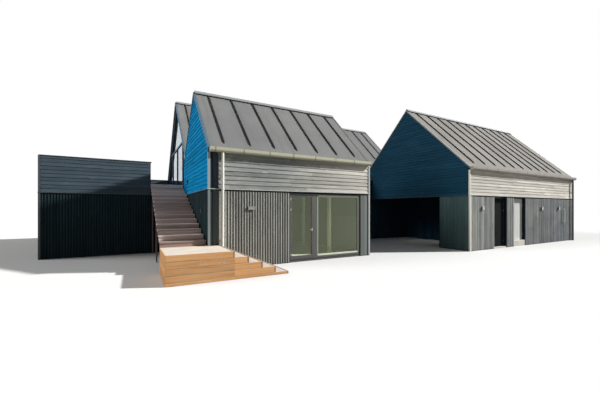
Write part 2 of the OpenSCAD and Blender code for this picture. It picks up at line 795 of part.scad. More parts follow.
// The gutter's middle lies off the wall at wall_y, out to the side it drains
module at_gutter(wall_y, side)
    translate([0, wall_y - side*(eave_out + gutter_w/2), gutter_top])
        mirror([0, side == 1 ? 0 : 1, 0]) children();

module gutters() color("lightgray") site() {
    at_gutter(0, 1) gutter(0, wing_l);
    at_gutter(hall_y, 1) gutter(wing_l + gutter_gap, annex_x - gutter_gap);
    at_gutter(annex_y, 1) gutter(annex_x, annex_end);
    at_gutter(hall_back, -1) gutter(hall_x, hall_l);
    at_gutter(annex_back, -1) gutter(hall_l + gutter_gap, annex_end);
}

// A downpipe with two clips that reach back to the wall
module downpipe(x, wall_y, side, foot_z) at_gutter(wall_y, side) {
    translate([x, 0, foot_z - gutter_top]) cylinder(d = pipe_d, h = gutter_top - gutter_h - foot_z);
    for (z = [foot_z + clip_low, drip_z + clip_high])
        translate([x - clip_w/2, 0, z - gutter_top]) cube([clip_w, eave_out + gutter_w/2, clip_h]);
}

module downpipes() color("lightgray") site() {
    downpipe(pipe_in, 0, 1, landing_z - garden_rise);
    downpipe(annex_x - drip_out - pipe_d, hall_y, 1, 0);
    downpipe(annex_end - pipe_far, annex_y, 1, 0);
    downpipe(hall_l - pipe_far, hall_back, -1, 0);
    downpipe(hall_x + pipe_in, hall_back, -1, 0);
    downpipe(annex_end - pipe_far, annex_back, -1, 0);
}

// Corner boards and the drip flashing that runs right round the house

module house_plan(out) {
    translate([-out, -out]) square([wing_l + 2*out, wing_w + 2*out]);
    translate([hall_x - out, hall_y - out]) square([hall_l - hall_x + 2*out, hall_w + 2*out]);
    translate([annex_x - out, annex_y - out]) square([annex_l + 2*out, annex_w + 2*out]);
    translate([-terrace_l - out, terrace_y - out])
        square([terrace_l + hall_x + 2*out, hall_back - terrace_y + 2*out]);
}

// sx and sy point from the corner into the block
module corner_board(x, y, sx, sy, z0, z1) translate([x, y, z0]) mirror([sx < 0 ? 1 : 0, 0, 0])
    mirror([0, sy < 0 ? 1 : 0, 0]) union() {
        translate([-trim_out, -trim_out, 0]) cube([trim_out + trim_w, trim_out, z1 - z0]);
        translate([-trim_out, -trim_out, 0]) cube([trim_out, trim_out + trim_w, z1 - z0]);
    }

// A strip that folds over a verge from y0 up to the ridge, on a gable that faces out (1 or -1)
module verge(x, out, eave_y, side, y0, ridge_y) {
    far = x + out*trim_out;
    near = x - out*verge_in;
    roof_band(eave_y, side, y0, ridge_y, -verge_tz, 0, min(near, far), max(near, far));
    roof_band(eave_y, side, y0, ridge_y, -verge_tz, verge_lip, min(x, far), max(x, far));
}

module wall_trims() color("lightgray") site() union() {
    translate([0, 0, drip_z]) linear_extrude(drip_h) difference() {
        house_plan(drip_out);
        house_plan(0);
    }
    trim_top = gutter_top - gutter_h;
    corner_board(0, 0, 1, 1, 0, trim_top);
    corner_board(wing_l, 0, -1, 1, 0, trim_top);
    corner_board(annex_x, annex_y, 1, 1, 0, trim_top);
    corner_board(annex_end, annex_y, -1, 1, 0, trim_top);
    corner_board(annex_end, annex_back, -1, -1, 0, trim_top);
    corner_board(hall_l, hall_back, -1, -1, 0, trim_top);
    corner_board(-terrace_l, terrace_y, 1, 1, 0, parapet_z - coping_h);
    corner_board(-terrace_l, hall_back, 1, -1, 0, parapet_z - coping_h);
    // The far verge of the hall's glazed gable ends over the parapet's coping
    parapet_end = hall_back - parapet_t - coping_out;
    verge(0, -1, 0, 1, -eave_out, wing_ridge);
    verge(0, -1, wing_w, -1, hall_y - cap_w, wing_ridge);
    verge(wing_l, 1, 0, 1, -eave_out, wing_ridge);
    verge(wing_l, 1, wing_w, -1, hall_y - cap_w, wing_ridge);
    verge(hall_x, -1, hall_y, 1, hall_y + cap_w, hall_ridge);
    verge(hall_x, -1, hall_back, -1, parapet_end, hall_ridge);
    verge(hall_l, 1, hall_y, 1, valley_y + cap_w, hall_ridge);
    verge(hall_l, 1, hall_back, -1, hall_back + eave_out, hall_ridge);
    verge(annex_x, -1, annex_y, 1, annex_y - eave_out, annex_ridge);
    verge(annex_x, -1, annex_back, -1, valley_y - cap_w, annex_ridge);
    verge(annex_end, 1, annex_y, 1, annex_y - eave_out, annex_ridge);
    verge(annex_end, 1, annex_back, -1, annex_back + eave_out, annex_ridge);
}

// Box lamps on the walls

module lamp(w, d, h) union() {
    translate([-w/2, -d - lamp_stem, -h/2]) cube([w, d, h]);
    translate([-w/3, -lamp_stem - 1, -h/3]) cube([w*2/3, lamp_stem + 1, h*2/3]);
}

module wall_lamps() color("gainsboro") site() {
    translate([wing_lamp_at, 0, lamp_z]) lamp(wing_lamp_w, wing_lamp_d, wing_lamp_h);
    for (x = lamp_at) translate([annex_x + x, annex_y, lamp_z]) lamp(lamp_w, lamp_d, lamp_h);
    for (at = step_lamps) translate([0, at[0], at[1]]) rotate([0, 0, -90])
        lamp(step_lamp_w, step_lamp_d, step_lamp_h);
}

module wall_rail() color("gainsboro") site() translate([annex_x + rail_x, annex_y, 0]) union() {
    translate([0, -rail_out, rail_low]) cylinder(r = rail_r, h = rail_top - rail_low);
    for (z = [rail_low + rail_arm_in, rail_top - rail_arm_in])
        translate([0, 0, z]) rotate([90, 0, 0]) cylinder(r = rail_arm_r, h = rail_out);
}

wing_gables();
wing_front_walls();
wing_front_head();
wing_glazing_frame();
wing_door();
wing_door_glass();
wing_roof_front();
wing_roof_back();
hall_side_walls();
hall_east_gable();
hall_west_base();
hall_gable_frame();
hall_upper_floor();
hall_roof_front();
hall_roof_back();
window_glass();
annex_gables();
annex_side_panel();
annex_front_walls();
annex_front_head();
annex_far_wall();
annex_sills();
annex_door_frames();
annex_dark_door();
annex_grey_door();
annex_roof_front();
annex_roof_back();
recess_back_wall();
recess_side_wall();
recess_ceiling();
ground_floors();
inner_posts();
terrace_deck();
terrace_front_wall();
terrace_west_wall();
terrace_far_wall();
stair_treads();
stair_risers();
stair_stringers();
landing();
garden_steps();
roof_battens();
roof_flashings();
gutters();
downpipes();
wall_trims();
wall_lamps();
wall_rail();
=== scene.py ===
"""Beach house of three gabled timber blocks: boards, roofing, glazing, doors, stair and steps in metres."""

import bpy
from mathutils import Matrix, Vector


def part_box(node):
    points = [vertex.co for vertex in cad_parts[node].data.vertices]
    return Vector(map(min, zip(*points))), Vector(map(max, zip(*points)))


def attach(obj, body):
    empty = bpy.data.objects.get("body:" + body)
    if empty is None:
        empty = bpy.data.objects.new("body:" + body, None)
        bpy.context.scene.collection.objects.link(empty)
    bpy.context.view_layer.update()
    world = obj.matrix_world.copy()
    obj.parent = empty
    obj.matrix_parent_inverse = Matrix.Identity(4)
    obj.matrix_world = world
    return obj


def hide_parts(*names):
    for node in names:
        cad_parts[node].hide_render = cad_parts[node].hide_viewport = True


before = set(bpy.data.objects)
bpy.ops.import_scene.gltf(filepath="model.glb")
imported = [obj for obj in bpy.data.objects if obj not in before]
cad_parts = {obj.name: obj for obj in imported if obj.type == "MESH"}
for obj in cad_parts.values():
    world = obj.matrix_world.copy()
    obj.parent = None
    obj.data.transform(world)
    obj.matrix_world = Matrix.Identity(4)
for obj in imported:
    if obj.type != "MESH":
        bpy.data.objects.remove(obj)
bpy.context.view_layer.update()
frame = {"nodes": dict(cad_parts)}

import logging
import math
import random
from dataclasses import dataclass, field
from enum import Enum
from typing import Callable, Sequence

import bmesh
import bpy
from mathutils import Matrix, Vector

LOG = logging.getLogger("beach_house")
Colour = tuple[float, float, float, float]
Point = Sequence[float]
Span = tuple[float, float]
Cut = tuple[Point, Point]
Socket = bpy.types.NodeSocket
Material = bpy.types.Material
Piece = bpy.types.Object
WHITE: Colour = (1.0, 1.0, 1.0, 1.0)
# The wing's near west ground corner, from which the plan is laid out
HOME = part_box("wing_gables")[0].freeze()
# Slack by which a corner still counts as lying on a face
NEAR = 0.001
# How far past a plane a board may reach before it is cut
TOUCHING = 1e-5
# Share of a face's direction along an axis above which the face looks that way
SQUARE = 0.9
# Tone of what isn't made of single boards
MIDDLE_TONE = 0.5
# How far a board's own tone moves its pattern along each axis
TONE_SHIFT = (31.0, 17.0, 23.0)
# Stretches of a noise's values over which a second colour comes in
CLOUDS, STREAKS, FIBRES = (0.36, 0.66), (0.46, 0.7), (0.5, 0.72)
# Distances from a knot's middle over which its ring and its heart fade
KNOT_RING, KNOT_HEART = (0.1, 0.22), (0.04, 0.09)
# Scale of the knots against the grain's, across it and along it
KNOT_ACROSS, KNOT_ALONG = 0.32, 2.6
# How much fainter a knot's ring is than its heart, and how deep the heart lies against the fibres
RING_SHARE, HEART_DEPTH = 0.7, -0.6
# How far a board's tone lightens it, against how far it darkens it
LIGHTEN_SHARE = 0.6
# Share of a face's direction upwards below which roofing shows its boarding
ROOF_UNDER = -0.3
# Share of a face's direction towards +X or upwards below which metal takes painted shade
SHADED_FACING = -0.5


def srgb(red: int, green: int, blue: int) -> Colour:
    """Turns a colour as the eye names it, 0 to 255 a channel, into the linear one that shaders take.

    Args:
        red: Red channel.
        green: Green channel.
        blue: Blue channel.

    Returns:
        The linear colour with full alpha.
    """
    def linear(channel: int) -> float:
        """Undoes the display curve for one channel."""
        share = channel / 255
        return share / 12.92 if share <= 0.04045 else ((share + 0.055) / 1.055) ** 2.4

    return (linear(red), linear(green), linear(blue), 1.0)


class Wiring:
    """Adds the nodes of one tree with short calls."""

    def __init__(self, tree: bpy.types.NodeTree) -> None:
        """Empties the tree."""
        self.tree = tree
        tree.nodes.clear()

    def node(self, kind: str, inputs: dict | None = None, **settings: object) -> bpy.types.Node:
        """Adds a node.

        Args:
            kind: The node's type.
            inputs: Sockets by name or number, each with a value or another node's output.
            **settings: The node's own properties.

        Returns:
            The new node.
        """
        made = self.tree.nodes.new(kind)
        for key, value in settings.items():
            setattr(made, key, value)
        for key, value in (inputs or {}).items():
            self.feed(made.inputs[key], value)
        return made

    def feed(self, socket: Socket, value: object) -> None:
        """Links an output to a socket, or sets the socket's value.

        Args:
            socket: What is fed.
            value: A plain value or another node's output.
        """
        if isinstance(value, Socket):
            self.tree.links.new(value, socket)
        else:
            socket.default_value = value

    def math(self, operation: str, a: object, b: object = 0.0) -> Socket:
        """One arithmetic step on two numbers or outputs."""
        return self.node("ShaderNodeMath", {0: a, 1: b}, operation=operation).outputs[0]


class Graph(Wiring):
    """Wires one material round a principled shader."""

    def __init__(self, name: str) -> None:
        """Starts the material.

        Args:
            name: The material's name.
        """
        self.material = bpy.data.materials.new(name)
        self.material.use_nodes = True
        super().__init__(self.material.node_tree)
        self.shader = self.node("ShaderNodeBsdfPrincipled")
        self.output = self.node("ShaderNodeOutputMaterial", {0: self.shader.outputs[0]})

    def set(self, **sockets: object) -> None:
        """Feeds the shader's sockets, named with underscores for spaces."""
        for name, value in sockets.items():
            self.feed(self.shader.inputs[name.replace("_", " ")], value)

    def blend(self, share: Socket, other: bpy.types.Node) -> None:
        """Lets another shader take the principled one's place by a share."""
        mixed = self.node("ShaderNodeMixShader", {0: share, 1: self.shader.outputs[0], 2: other.outputs[0]})
        self.feed(self.output.inputs[0], mixed.outputs[0])

    def attribute(self, name: str) -> Socket:
        """Reads a mesh attribute as a number."""
        return self.node("ShaderNodeAttribute", attribute_name=name).outputs["Fac"]

    def vector(self, operation: str, a: object, b: object = (0.0, 0.0, 0.0)) -> Socket:
        """One step on two vectors."""
        return self.node("ShaderNodeVectorMath", {0: a, 1: b}, operation=operation).outputs[0]

    def parts(self, vector: Socket) -> tuple[Socket, ...]:
        """A vector's X, Y and Z."""
        return tuple(self.node("ShaderNodeSeparateXYZ", {0: vector}).outputs)

    def place(self) -> Socket:
        """The point in the object's own coordinates."""
        return self.node("ShaderNodeTexCoord").outputs["Object"]

    def coords(self, scale: Point = (1, 1, 1), shift: Socket | None = None) -> Socket:
        """Object coordinates through a mapping.

        Args:
            scale: Scale along each axis.
            shift: A number that moves the pattern, such as a board's own tone.

        Returns:
            The mapped vector.
        """
        place = self.place()
        if shift is not None:
            steps = {axis: self.math("MULTIPLY", shift, far) for axis, far in enumerate(TONE_SHIFT)}
            place = self.vector("ADD", place, self.node("ShaderNodeCombineXYZ", steps).outputs[0])
        return self.node("ShaderNodeMapping", {"Vector": place, "Scale": scale}).outputs[0]

    def axes(self) -> tuple[Socket, ...]:
        """The point's place along X, Y and Z from the wing's near west corner."""
        return self.parts(self.vector("SUBTRACT", self.place(), HOME))

    def facing(self) -> tuple[Socket, ...]:
        """The surface's direction along X, Y and Z."""
        return self.parts(self.node("ShaderNodeNewGeometry").outputs["Normal"])

    def cell(self, size: Point) -> Socket:
        """A number of its own, 0 to 1, for each cell of a grid of the given size."""
        whole = self.vector("FLOOR", self.coords([1 / length for length in size]))
        return self.node("ShaderNodeTexWhiteNoise", {"Vector": whole}).outputs["Value"]

    def within(self, low: Point, high: Point) -> Socket:
        """Tells a box from the rest.

        Args:
            low: The box's lowest corner.
            high: Its highest corner.

        Returns:
            1 inside the box and 0 outside it.
        """
        share = 1.0
        for value, start, end in zip(self.axes(), low, high):
            sides = {0: value, 1: (start + end) / 2, 2: (end - start) / 2}
            near = self.node("ShaderNodeMath", sides, operation="COMPARE").outputs[0]
            share = self.math("MULTIPLY", near, share)
        return share

    def noise(self, vector: Socket, scale: float, detail: float = 3.0, rough: float = 0.55,
              warp: float = 0.0) -> Socket:
        """Cloudy noise from 0 to 1."""
        return self.node("ShaderNodeTexNoise", {"Vector": vector, "Scale": scale, "Detail": detail,
                                                "Roughness": rough, "Distortion": warp}).outputs["Fac"]

    def spread(self, value: object, low: float, high: float, to_low: float = 0.0,
               to_high: float = 1.0) -> Socket:
        """Stretches a number from one range to another and holds it there."""
        return self.node("ShaderNodeMapRange", {"Value": value, "From Min": low, "From Max": high,
                                                "To Min": to_low, "To Max": to_high}).outputs[0]

    def wander(self, noise: Socket, rough: float, less: float, more: float) -> Socket:
        """A roughness that wanders with a noise, from less to more than its middle."""
        return self.spread(noise, 0.3, 0.7, rough - less, rough + more)

    def mix(self, share: object, first: object, second: object, blend: str = "MIX") -> Socket:
        """Mixes two colours."""
        made = self.node("ShaderNodeMix", {0: share, 6: first, 7: second}, data_type="RGBA", blend_type=blend)
        return made.outputs[2]

    def layer(self, first: object, second: object, value: Socket, span: Span, share: float) -> Socket:
        """Lets a second colour come in, up to a share, as a value runs through a span."""
        return self.mix(self.spread(value, *span, 0.0, share), first, second)

    def relief(self, height: object, strength: float, depth: float) -> None:
        """Gives the shader a bump from a height."""
        made = self.node("ShaderNodeBump", {"Height": height, "Strength": strength, "Distance": depth})
        self.set(Normal=made.outputs[0])


@dataclass(frozen=True)
class Patch:
    """A box of the house in which a finish takes another colour."""

    low: tuple[float, float, float]
    high: tuple[float, float, float]
    face: Colour

    def over(self, graph: Graph, colour: object) -> Socket:
        """Lays the patch's colour over another."""
        return graph.mix(graph.within(self.low, self.high), colour, self.face)


@dataclass(frozen=True)
class Bands(Patch):
    """Evenly spaced bands across X within a box of the house, such as the straps of a gutter."""

    pitch: float
    width: float

    def over(self, graph: Graph, colour: object) -> Socket:
        """Lays the bands' colour over another.

        Args:
            graph: The material's graph.
            colour: The colour between the bands.

        Returns:
            The colour with the bands in it.
        """
        along = graph.math("SUBTRACT", graph.axes()[0], self.low[0])
        band = graph.math("LESS_THAN", graph.math("MODULO", along, self.pitch), self.width)
        share = graph.math("MULTIPLY", band, graph.within(self.low, self.high))
        return graph.mix(share, colour, self.face)


class Grain(Enum):
    """The way that the grain of the boards runs."""

    LEVEL = (0.7, 0.7, 14.0)
    UPRIGHT = (14.0, 14.0, 0.7)
    ALONG_X = (0.7, 14.0, 14.0)
    ALONG_Y = (14.0, 0.7, 14.0)


@dataclass(frozen=True)
class Finish:
    """A surface finish under its own name."""

    name: str

    def dress(self, graph: Graph) -> None:
        """Wires the finish."""
        raise NotImplementedError

    def material(self) -> Material:
        """Builds the material.

        Returns:
            The finished material.
        """
        graph = Graph(self.name)
        self.dress(graph)
        return graph.material


@dataclass(frozen=True)
class BoardFinish(Finish):
    """Weathered boards: grain, knots, clouds and a tone of its own for each board."""

    face: Colour
    pale: Colour
    dark: Colour
    grain: Grain
    tone: float = 0.22
    clouds: float = 0.35
    knots: float = 0.6
    rough: float = 0.85
    sheen: float = 0.12
    # Span along X over which the boards grow paler
    pale_along_x: Span | None = None
    patches: tuple[Patch, ...] = ()
    cells: tuple[float, float, float] | None = None
    sanded: Colour | None = None

    def dress(self, graph: Graph) -> None:
        """Lays clouds, a paling along X, streaks, fibres, knots, painted shade and patches over the face
        colour.

        Args:
            graph: The material's graph.
        """
        tone = graph.cell(self.cells) if self.cells else graph.attribute("tone")
        along = graph.coords(self.grain.value, shift=tone)
        fibre = graph.noise(along, scale=6.0, detail=5.0, rough=0.6, warp=0.15)
        streak = graph.noise(along, scale=1.6, detail=3.0, rough=0.5, warp=0.3)
        cloud = graph.noise(graph.coords((0.6, 0.6, 0.9)), scale=1.0, detail=4.0)
        colour = graph.layer(self.face, self.pale, cloud, CLOUDS, share=self.clouds)
        # Paler towards one end along X
        if self.pale_along_x:
            colour = graph.layer(colour, self.pale, graph.axes()[0], self.pale_along_x, share=0.8)
        colour = graph.layer(colour, self.dark, streak, STREAKS, share=0.4)
        colour = graph.layer(colour, self.pale, fibre, FIBRES, share=0.35)
        wide = [(KNOT_ACROSS if size > 1 else KNOT_ALONG) * size for size in self.grain.value]
        knot = graph.node("ShaderNodeTexVoronoi", {"Vector": graph.coords(wide, shift=tone), "Scale": 1.0})
        ring = graph.spread(knot.outputs["Distance"], *KNOT_RING, to_low=RING_SHARE * self.knots, to_high=0.0)
        heart = graph.spread(knot.outputs["Distance"], *KNOT_HEART, to_low=self.knots, to_high=0.0)
        colour = graph.mix(ring, colour, self.pale)
        colour = graph.mix(heart, colour, self.dark)
        colour = graph.mix(graph.attribute("shelter"), colour, self.dark)
        for patch in self.patches:
            colour = patch.over(graph, colour)
        if self.sanded:
            colour = graph.mix(graph.math("GREATER_THAN", graph.facing()[2], SQUARE), colour, self.sanded)
        level = graph.spread(tone, 0.0, 1.0, 1.0 - self.tone, 1.0 + LIGHTEN_SHARE * self.tone)
        shade = graph.node("ShaderNodeCombineColor", {0: level, 1: level, 2: level})
        colour = graph.mix(1.0, colour, shade.outputs[0], "MULTIPLY")
        graph.set(Base_Color=colour, Roughness=graph.wander(streak, self.rough, less=0.1, more=0.1),
                  Specular_IOR_Level=self.sheen)
        sunk = graph.math("ADD", fibre, graph.math("MULTIPLY", heart, HEART_DEPTH))
        graph.relief(sunk, strength=0.4, depth=0.004)


@dataclass(frozen=True)
class FeltFinish(Finish):
    """Mineral roofing felt: fine grit, cloudy ageing and faint runs, and boarding under it."""

    face: Colour
    pale: Colour
    dark: Colour
    under: Colour = srgb(150, 146, 134)
    rough: float = 0.92

    def dress(self, graph: Graph) -> None:
        """Lays clouds, runs down the slope and grit over the face colour.

        Args:
            graph: The material's graph.
        """
        grit = graph.noise(graph.coords(), scale=190.0, detail=2.0, rough=0.7)
        cloud = graph.noise(graph.coords(), scale=0.55, detail=5.0, rough=0.6)
        runs = graph.noise(graph.coords((5.0, 0.35, 0.35)), scale=1.0, detail=4.0, rough=0.6)
        colour = graph.layer(self.face, self.pale, cloud, (0.38, 0.64), share=0.5)
        colour = graph.layer(colour, self.dark, runs, (0.5, 0.75), share=0.4)
        colour = graph.layer(colour, self.dark, grit, (0.5, 0.75), share=0.35)
        colour = graph.mix(graph.math("LESS_THAN", graph.facing()[2], ROOF_UNDER), colour, self.under)
        graph.set(Base_Color=colour, Roughness=graph.wander(grit, self.rough, less=0.1, more=0.0),
                  Specular_IOR_Level=0.15)
        graph.relief(grit, strength=0.3, depth=0.002)


@dataclass(frozen=True)
class MetalFinish(Finish):
    """Sheet metal or painted frames: mottling, runs of dirt and a satin sheen."""

    face: Colour
    mottled: Colour
    metallic: float = 0.0
    rough: float = 0.5
    patches: tuple[Patch, ...] = ()
    # Painted shade for faces that look west or down, away from the key
    shaded_face: Colour | None = None

    def dress(self, graph: Graph) -> None:
        """Lays patches, painted shade on faces that look west or down, mottling and runs over the face
        colour.

        Args:
            graph: The material's graph.
        """
        spangle = graph.noise(graph.coords(), scale=22.0, detail=4.0, rough=0.6)
        runs = graph.noise(graph.coords((9.0, 9.0, 0.6)), scale=1.0, detail=4.0, rough=0.6)
        colour = self.face
        for patch in self.patches:
            colour = patch.over(graph, colour)
        if self.shaded_face:
            facing = graph.facing()
            side, under = (graph.math("LESS_THAN", facing[axis], SHADED_FACING) for axis in (0, 2))
            colour = graph.mix(graph.math("MAXIMUM", side, under), colour, self.shaded_face)
        mottled = colour if self.patches or self.shaded_face else self.mottled
        dull = graph.mix(0.25, mottled, self.mottled)
        colour = graph.layer(colour, dull, spangle, (0.4, 0.68), share=0.45)
        colour = graph.layer(colour, dull, runs, (0.5, 0.8), share=0.5)
        graph.set(Base_Color=colour, Metallic=self.metallic,
                  Roughness=graph.wander(spangle, self.rough, less=0.08, more=0.12))
        graph.relief(spangle, strength=0.12, depth=0.001)


@dataclass(frozen=True)
class StoneFinish(Finish):
    """Cast concrete or packed gravel: pores, cloudy damp and a sandy top."""

    face: Colour
    damp: Colour
    rough: float = 0.88

    def dress(self, graph: Graph) -> None:
        """Lays damp clouds and sand over the face colour.

        Args:
            graph: The material's graph.
        """
        cloud = graph.noise(graph.coords(shift=graph.attribute("tone")), scale=2.2, detail=6.0, rough=0.62)
        sand = graph.noise(graph.coords(), scale=140.0, detail=3.0, rough=0.7)
        colour = graph.layer(self.face, self.damp, cloud, (0.42, 0.7), share=0.5)
        colour = graph.layer(colour, self.damp, sand, (0.55, 0.75), share=0.4)
        graph.set(Base_Color=colour, Roughness=graph.wander(cloud, self.rough, less=0.08, more=0.08),
                  Specular_IOR_Level=0.2)
        graph.relief(graph.math("ADD", sand, cloud), strength=0.3, depth=0.004)


@dataclass(frozen=True)
class GlassFinish(Finish):
    """Sealed glazing with a faint green cast and a film of salt, which lets daylight into the rooms."""

    tint: Colour
    # Tint of the gloss, which paints a colour into the reflections
    gloss: Colour
    index: float = 1.5
    rough: float = 0.015
    patches: tuple[Patch, ...] = ()

    def dress(self, graph: Graph) -> None:
        """Tints the glass and its gloss, and lets shadow and bounced rays through it.

        Args:
            graph: The material's graph.
        """
        film = graph.noise(graph.coords((1.0, 1.0, 0.5)), scale=3.0, detail=5.0, rough=0.6)
        tint, gloss = self.tint, self.gloss
        for patch in self.patches:
            tint, gloss = patch.over(graph, tint), patch.over(graph, gloss)
        graph.set(Base_Color=tint, Transmission_Weight=1.0, IOR=self.index, Specular_Tint=gloss,
                  Roughness=graph.spread(film, 0.45, 0.75, self.rough, self.rough + 0.03))
        path = graph.node("ShaderNodeLightPath").outputs
        light = graph.math("MAXIMUM", path["Is Shadow Ray"], path["Is Diffuse Ray"])
        graph.blend(light, graph.node("ShaderNodeBsdfTransparent", {"Color": tint}))


def leave_edit() -> None:
    """Goes back to object mode."""
    bpy.ops.object.mode_set(mode="OBJECT")


def clear_selection() -> None:
    """Leaves edit mode and deselects everything."""
    if bpy.context.object and bpy.context.object.mode != "OBJECT":
        leave_edit()
    bpy.ops.object.select_all(action="DESELECT")


def activate(piece: Piece) -> None:
    """Makes a piece the only one selected.

    Args:
        piece: The piece.
    """
    clear_selection()
    piece.select_set(True)
    bpy.context.view_layer.objects.active = piece


def start_block(name: str, low: Point, high: Point) -> Piece:
    """Adds a block that fills a box, with its place in its mesh.

    Args:
        name: The piece's name.
        low: Lowest corner.
        high: Highest corner.

    Returns:
        The block.
    """
    clear_selection()
    bpy.ops.mesh.primitive_cube_add(size=1.0)
    piece = bpy.context.active_object
    piece.name = piece.data.name = name
    piece.location = (Vector(low) + Vector(high)) / 2
    piece.scale = Vector(high) - Vector(low)
    bpy.ops.object.transform_apply(location=True, rotation=True, scale=True)
    return piece


def pick(piece: Piece, chosen: Callable[[Vector], bool], mode: str = "VERT") -> None:
    """Enters edit mode with the chosen vertices selected, and the edges and faces between them.

    Args:
        piece: The mesh.
        chosen: Says of a point whether it is wanted.
        mode: VERT, EDGE or FACE.
    """
    activate(piece)
    bpy.ops.object.mode_set(mode="EDIT")
    bpy.ops.mesh.select_mode(type="VERT")
    bpy.ops.mesh.select_all(action="DESELECT")
    shape = bmesh.from_edit_mesh(piece.data)
    for vertex in shape.verts:
        vertex.select_set(chosen(vertex.co))
    shape.select_flush(True)
    bmesh.update_edit_mesh(piece.data)
    bpy.ops.mesh.select_mode(type=mode)


def slide(piece: Piece, chosen: Callable[[Vector], bool], step: Point) -> None:
    """Moves some vertices.

    Args:
        piece: The mesh.
        chosen: Says of a point whether it moves.
        step: How far it moves.
    """
    pick(piece, chosen)
    bpy.ops.transform.translate(value=step)
    leave_edit()


def bevel_where(piece: Piece, chosen: Callable[[Vector], bool], width: float) -> None:
    """Bevels some edges once.

    Args:
        piece: The mesh.
        chosen: Says of a point whether the edges between it and others like it are bevelled.
        width: The bevel's width.
    """
    pick(piece, chosen, "EDGE")
    bpy.ops.mesh.bevel(offset=width, segments=1, affect="EDGES")
    leave_edit()


def soften(piece: Piece, width: float, rings: int = 2) -> Piece:
    """Rounds every hard edge of a piece.

    Args:
        piece: The piece.
        width: The rounding's width.
        rings: Faces across the rounding.

    Returns:
        The same piece.
    """
    activate(piece)
    bevel = piece.modifiers.new("bevel", "BEVEL")
    bevel.width, bevel.segments, bevel.limit_method = width, rings, "ANGLE"
    bpy.ops.object.modifier_apply(modifier=bevel.name)
    return piece


def cut_away(piece: Piece, cuts: Sequence[Cut]) -> None:
    """Bisects a board by the planes that reach it, drops what lies on their outer side and closes the cut.

    Args:
        piece: The board, alone, so that each cut closes on one outline. It is left empty where it lies
            outside.
        cuts: A point on each plane and its outward normal.
    """
    for point, normal in cuts:
        if all((vertex.co - Vector(point)).dot(normal) < TOUCHING for vertex in piece.data.vertices):
            continue
        activate(piece)
        bpy.ops.object.mode_set(mode="EDIT")
        bpy.ops.mesh.select_all(action="SELECT")
        bpy.ops.mesh.bisect(plane_co=point, plane_no=normal, use_fill=True, clear_outer=True)
        leave_edit()


def set_tone(mesh: bpy.types.Mesh, tone: float) -> None:
    """Writes one tone on every point of a mesh, for its finish to read."""
    layer = mesh.attributes.get("tone") or mesh.attributes.new("tone", "FLOAT", "POINT")
    layer.data.foreach_set("value", [tone] * len(mesh.vertices))


def set_painted_shade(piece: Piece, share: Callable[[bpy.types.MeshPolygon], float]) -> None:
    """Writes on every face how much painted shade its finish takes, 0 to 1."""
    layer = piece.data.attributes.new("shelter", "FLOAT", "FACE")
    layer.data.foreach_set("value", [share(face) for face in piece.data.polygons])


def stretch(place: Point, sizes: Point) -> Matrix:
    """Sizes a model along each axis and then moves it to its place."""
    return Matrix.Translation(place) @ Matrix.Diagonal((*sizes, 1))


def place_copy(model: Piece, place: Matrix, tone: float) -> Piece:
    """Copies a modelled piece with a mesh of its own.

    Args:
        model: What is copied.
        place: Where the copy goes, as a change of its mesh.
        tone: The copy's own tone.

    Returns:
        The copy.
    """
    copy = model.copy()
    copy.data = model.data.copy()
    bpy.context.scene.collection.objects.link(copy)
    copy.data.transform(place)
    set_tone(copy.data, tone)
    return copy


def join(name: str, parts: Sequence[Piece]) -> Piece:
    """Joins parts into one piece.

    Args:
        name: The piece's name.
        parts: What is joined.

    Returns:
        The joined piece.
    """
    clear_selection()
    for part in parts:
        part.select_set(True)
    bpy.context.view_layer.objects.active = parts[0]
    if len(parts) > 1:
        bpy.ops.object.join()
    piece = bpy.context.view_layer.objects.active
    piece.name = piece.data.name = name
    return piece


def drop(piece: Piece) -> None:
    """Removes a model that has been copied, or an empty board."""
    bpy.data.objects.remove(piece)


@dataclass(frozen=True)
class Levels:
    """Heights that the whole house shares."""

    drip_low: float = 2.52
    drip_top: float = 2.542
    drip_gap: float = 0.004
    eave: float = 3.84
    rise: float = 0.98
    board_top: float = 3.705
    verge_low: float = 0.064
    landing: float = 0.77
    deck: float = 2.99
    parapet: float = 3.92
    foot: float = 0.02

    @property
    def slat_top(self) -> float:
        """Top of the upright boards, just under the drip flashing."""
        return self.drip_low - self.drip_gap


LEVELS = Levels()


@dataclass(frozen=True)
class Face:
    """An upright face of a wall as seen from outside: low left corner, heading and length."""

    x: float
    y: float
    heading: float
    length: float

    def matrix(self) -> Matrix:
        """Takes a face's own axes, X along it and -Y outwards, to the house's."""
        return Matrix.Translation((self.x, self.y, 0)) @ Matrix.Rotation(math.radians(self.heading), 4, "Z")

    def inset(self, start: float, end: float) -> Span:
        """The run along the face that leaves free a start and an end."""
        return start, self.length - end


def slope_cut(x: float, y: float, side: int) -> Cut:
    """The plane under a roof slope from an eave at y; side is 1 where it rises towards +Y, or -1."""
    return (x, y, LEVELS.eave - LEVELS.verge_low), (0, -side * LEVELS.rise, 1)


def gable_cuts(x: float, y0: float, y1: float) -> tuple[list[Cut], float]:
    """The planes under both slopes of a roof with eaves at y0 and y1, and the height where they meet."""
    return [slope_cut(x, y0, 1), slope_cut(x, y1, -1)], LEVELS.eave + LEVELS.rise * (y1 - y0) / 2


